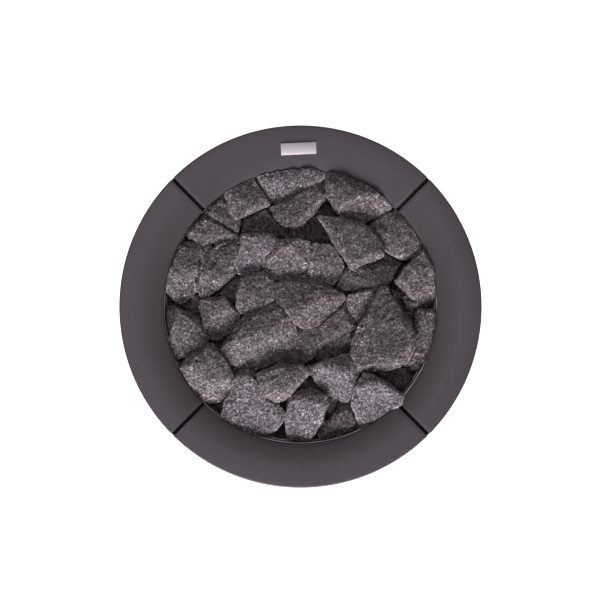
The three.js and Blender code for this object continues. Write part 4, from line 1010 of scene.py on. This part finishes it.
def pale_floor():
    """A wide white floor that glows a little, as a studio background does."""
    corners = [(x * FLOOR_REACH, y * FLOOR_REACH, 0) for x, y in ((-1, -1), (1, -1), (1, 1), (-1, 1))]
    floor = from_faces("floor", corners, [(0, 1, 2, 3)])
    n = Nodes("floor_pale")
    tone = n.mix(n.grey_ramp(n.noise(0.6, 2.0), 0.3, 0.7), (0.80, 0.80, 0.80), (0.83, 0.83, 0.83))
    floor.data.materials.append(n.set(colour=tone, rough=0.9))
    n.shader.inputs["Emission Color"].default_value = (1, 1, 1, 1)
    n.shader.inputs["Emission Strength"].default_value = FLOOR_GLOW


def lighting():
    world = bpy.data.worlds.new("studio")
    bpy.context.scene.world = world
    world.use_nodes = True
    background = world.node_tree.nodes["Background"]
    background.inputs["Color"].default_value = (*WORLD_COLOUR, 1)
    background.inputs["Strength"].default_value = WORLD_LIGHT
    for name, place, size, power, colour in LAMPS:
        light = bpy.data.lights.new(name, "AREA")
        light.shape = "RECTANGLE"
        light.size, light.size_y = size
        light.energy = power
        light.color = colour
        lamp = new_object(name, light)
        lamp.location = place
        aim = Vector((0, 0, LIP_HEIGHT)) - Vector(place)
        lamp.rotation_euler = aim.to_track_quat("-Z", "Y").to_euler()


def camera():
    data = bpy.data.cameras.new("camera")
    data.lens = CAMERA_LENS
    data.sensor_width = CAMERA_SENSOR
    data.shift_x, data.shift_y = CAMERA_SHIFT
    data.clip_end = 50
    eye = new_object("camera", data)
    eye.location = (0, 0, LIP_HEIGHT + CAMERA_ABOVE_LIP)
    bpy.context.scene.camera = eye


# ---- the whole heater ----

def casing():
    coat = powder_coat()
    for index, side in enumerate(QUARTERS):
        casing_panel(side, index, coat)
    black = black_coat()
    for index in range(4):
        gap_shade_strip(index, black)
    for node in sorted(nodes):
        if node.startswith("frame_post"):
            refined(node, black, "black_coat", width=THIN_EDGE)
    refined("base_plate", black, "black_coat")
    refined("control_fascia", black, "black_coat")


def inner_parts_and_feet():
    zinc = zinc_sheet("zinc_sheet")
    for node in ("stone_grate", "heat_shield", "element_tray", "control_box"):
        refined(node, zinc, "zinc_sheet", width=THIN_EDGE)
    sheath = element_sheath()
    for i in (1, 2, 3):
        refined(f"heating_element_{i}", sheath, "element_sheath", degrees=65, width=0.1 * MM)
    foot_zinc = zinc_sheet("zinc_foot", 0.45)
    for corner in ("back_right", "back_left", "front_left", "front_right"):
        refined(f"levelling_foot_{corner}", foot_zinc, "zinc_foot", f"foot_{corner}")


def controls():
    black_plastic = plastic("black_plastic", (0.012, 0.012, 0.013), 0.5)
    for node in ("timer_body", "thermostat_body", "overheat_limiter", "terminal_block", "cable_gland"):
        refined(node, black_plastic, "black_plastic")
    knob_plastic = plastic("knob_plastic", (0.014, 0.014, 0.015), 0.38)
    for node in ("timer_knob", "thermostat_knob"):
        refined(node, knob_plastic, "knob_plastic", node, 0.6 * MM)
    red_plastic = plastic("red_plastic", (0.32, 0.02, 0.014), 0.35)
    refined("reset_button", red_plastic, "red_plastic", "reset_button", 0.3 * MM)


def main():
    bpy.context.scene.view_settings.view_transform = "Standard"
    camera()
    pale_floor()
    lighting()
    casing()
    steel = drawn_steel()
    for index, side in enumerate(QUARTERS):
        cage_quarter(side, index, steel)
    inner_parts_and_feet()
    controls()
    badge(badge_metal())
    screws(steel)
    paint = dial_paint()
    dial("timer_knob", 300, 16, paint)
    dial("thermostat_knob", 270, 10, paint)
    stones()


main()
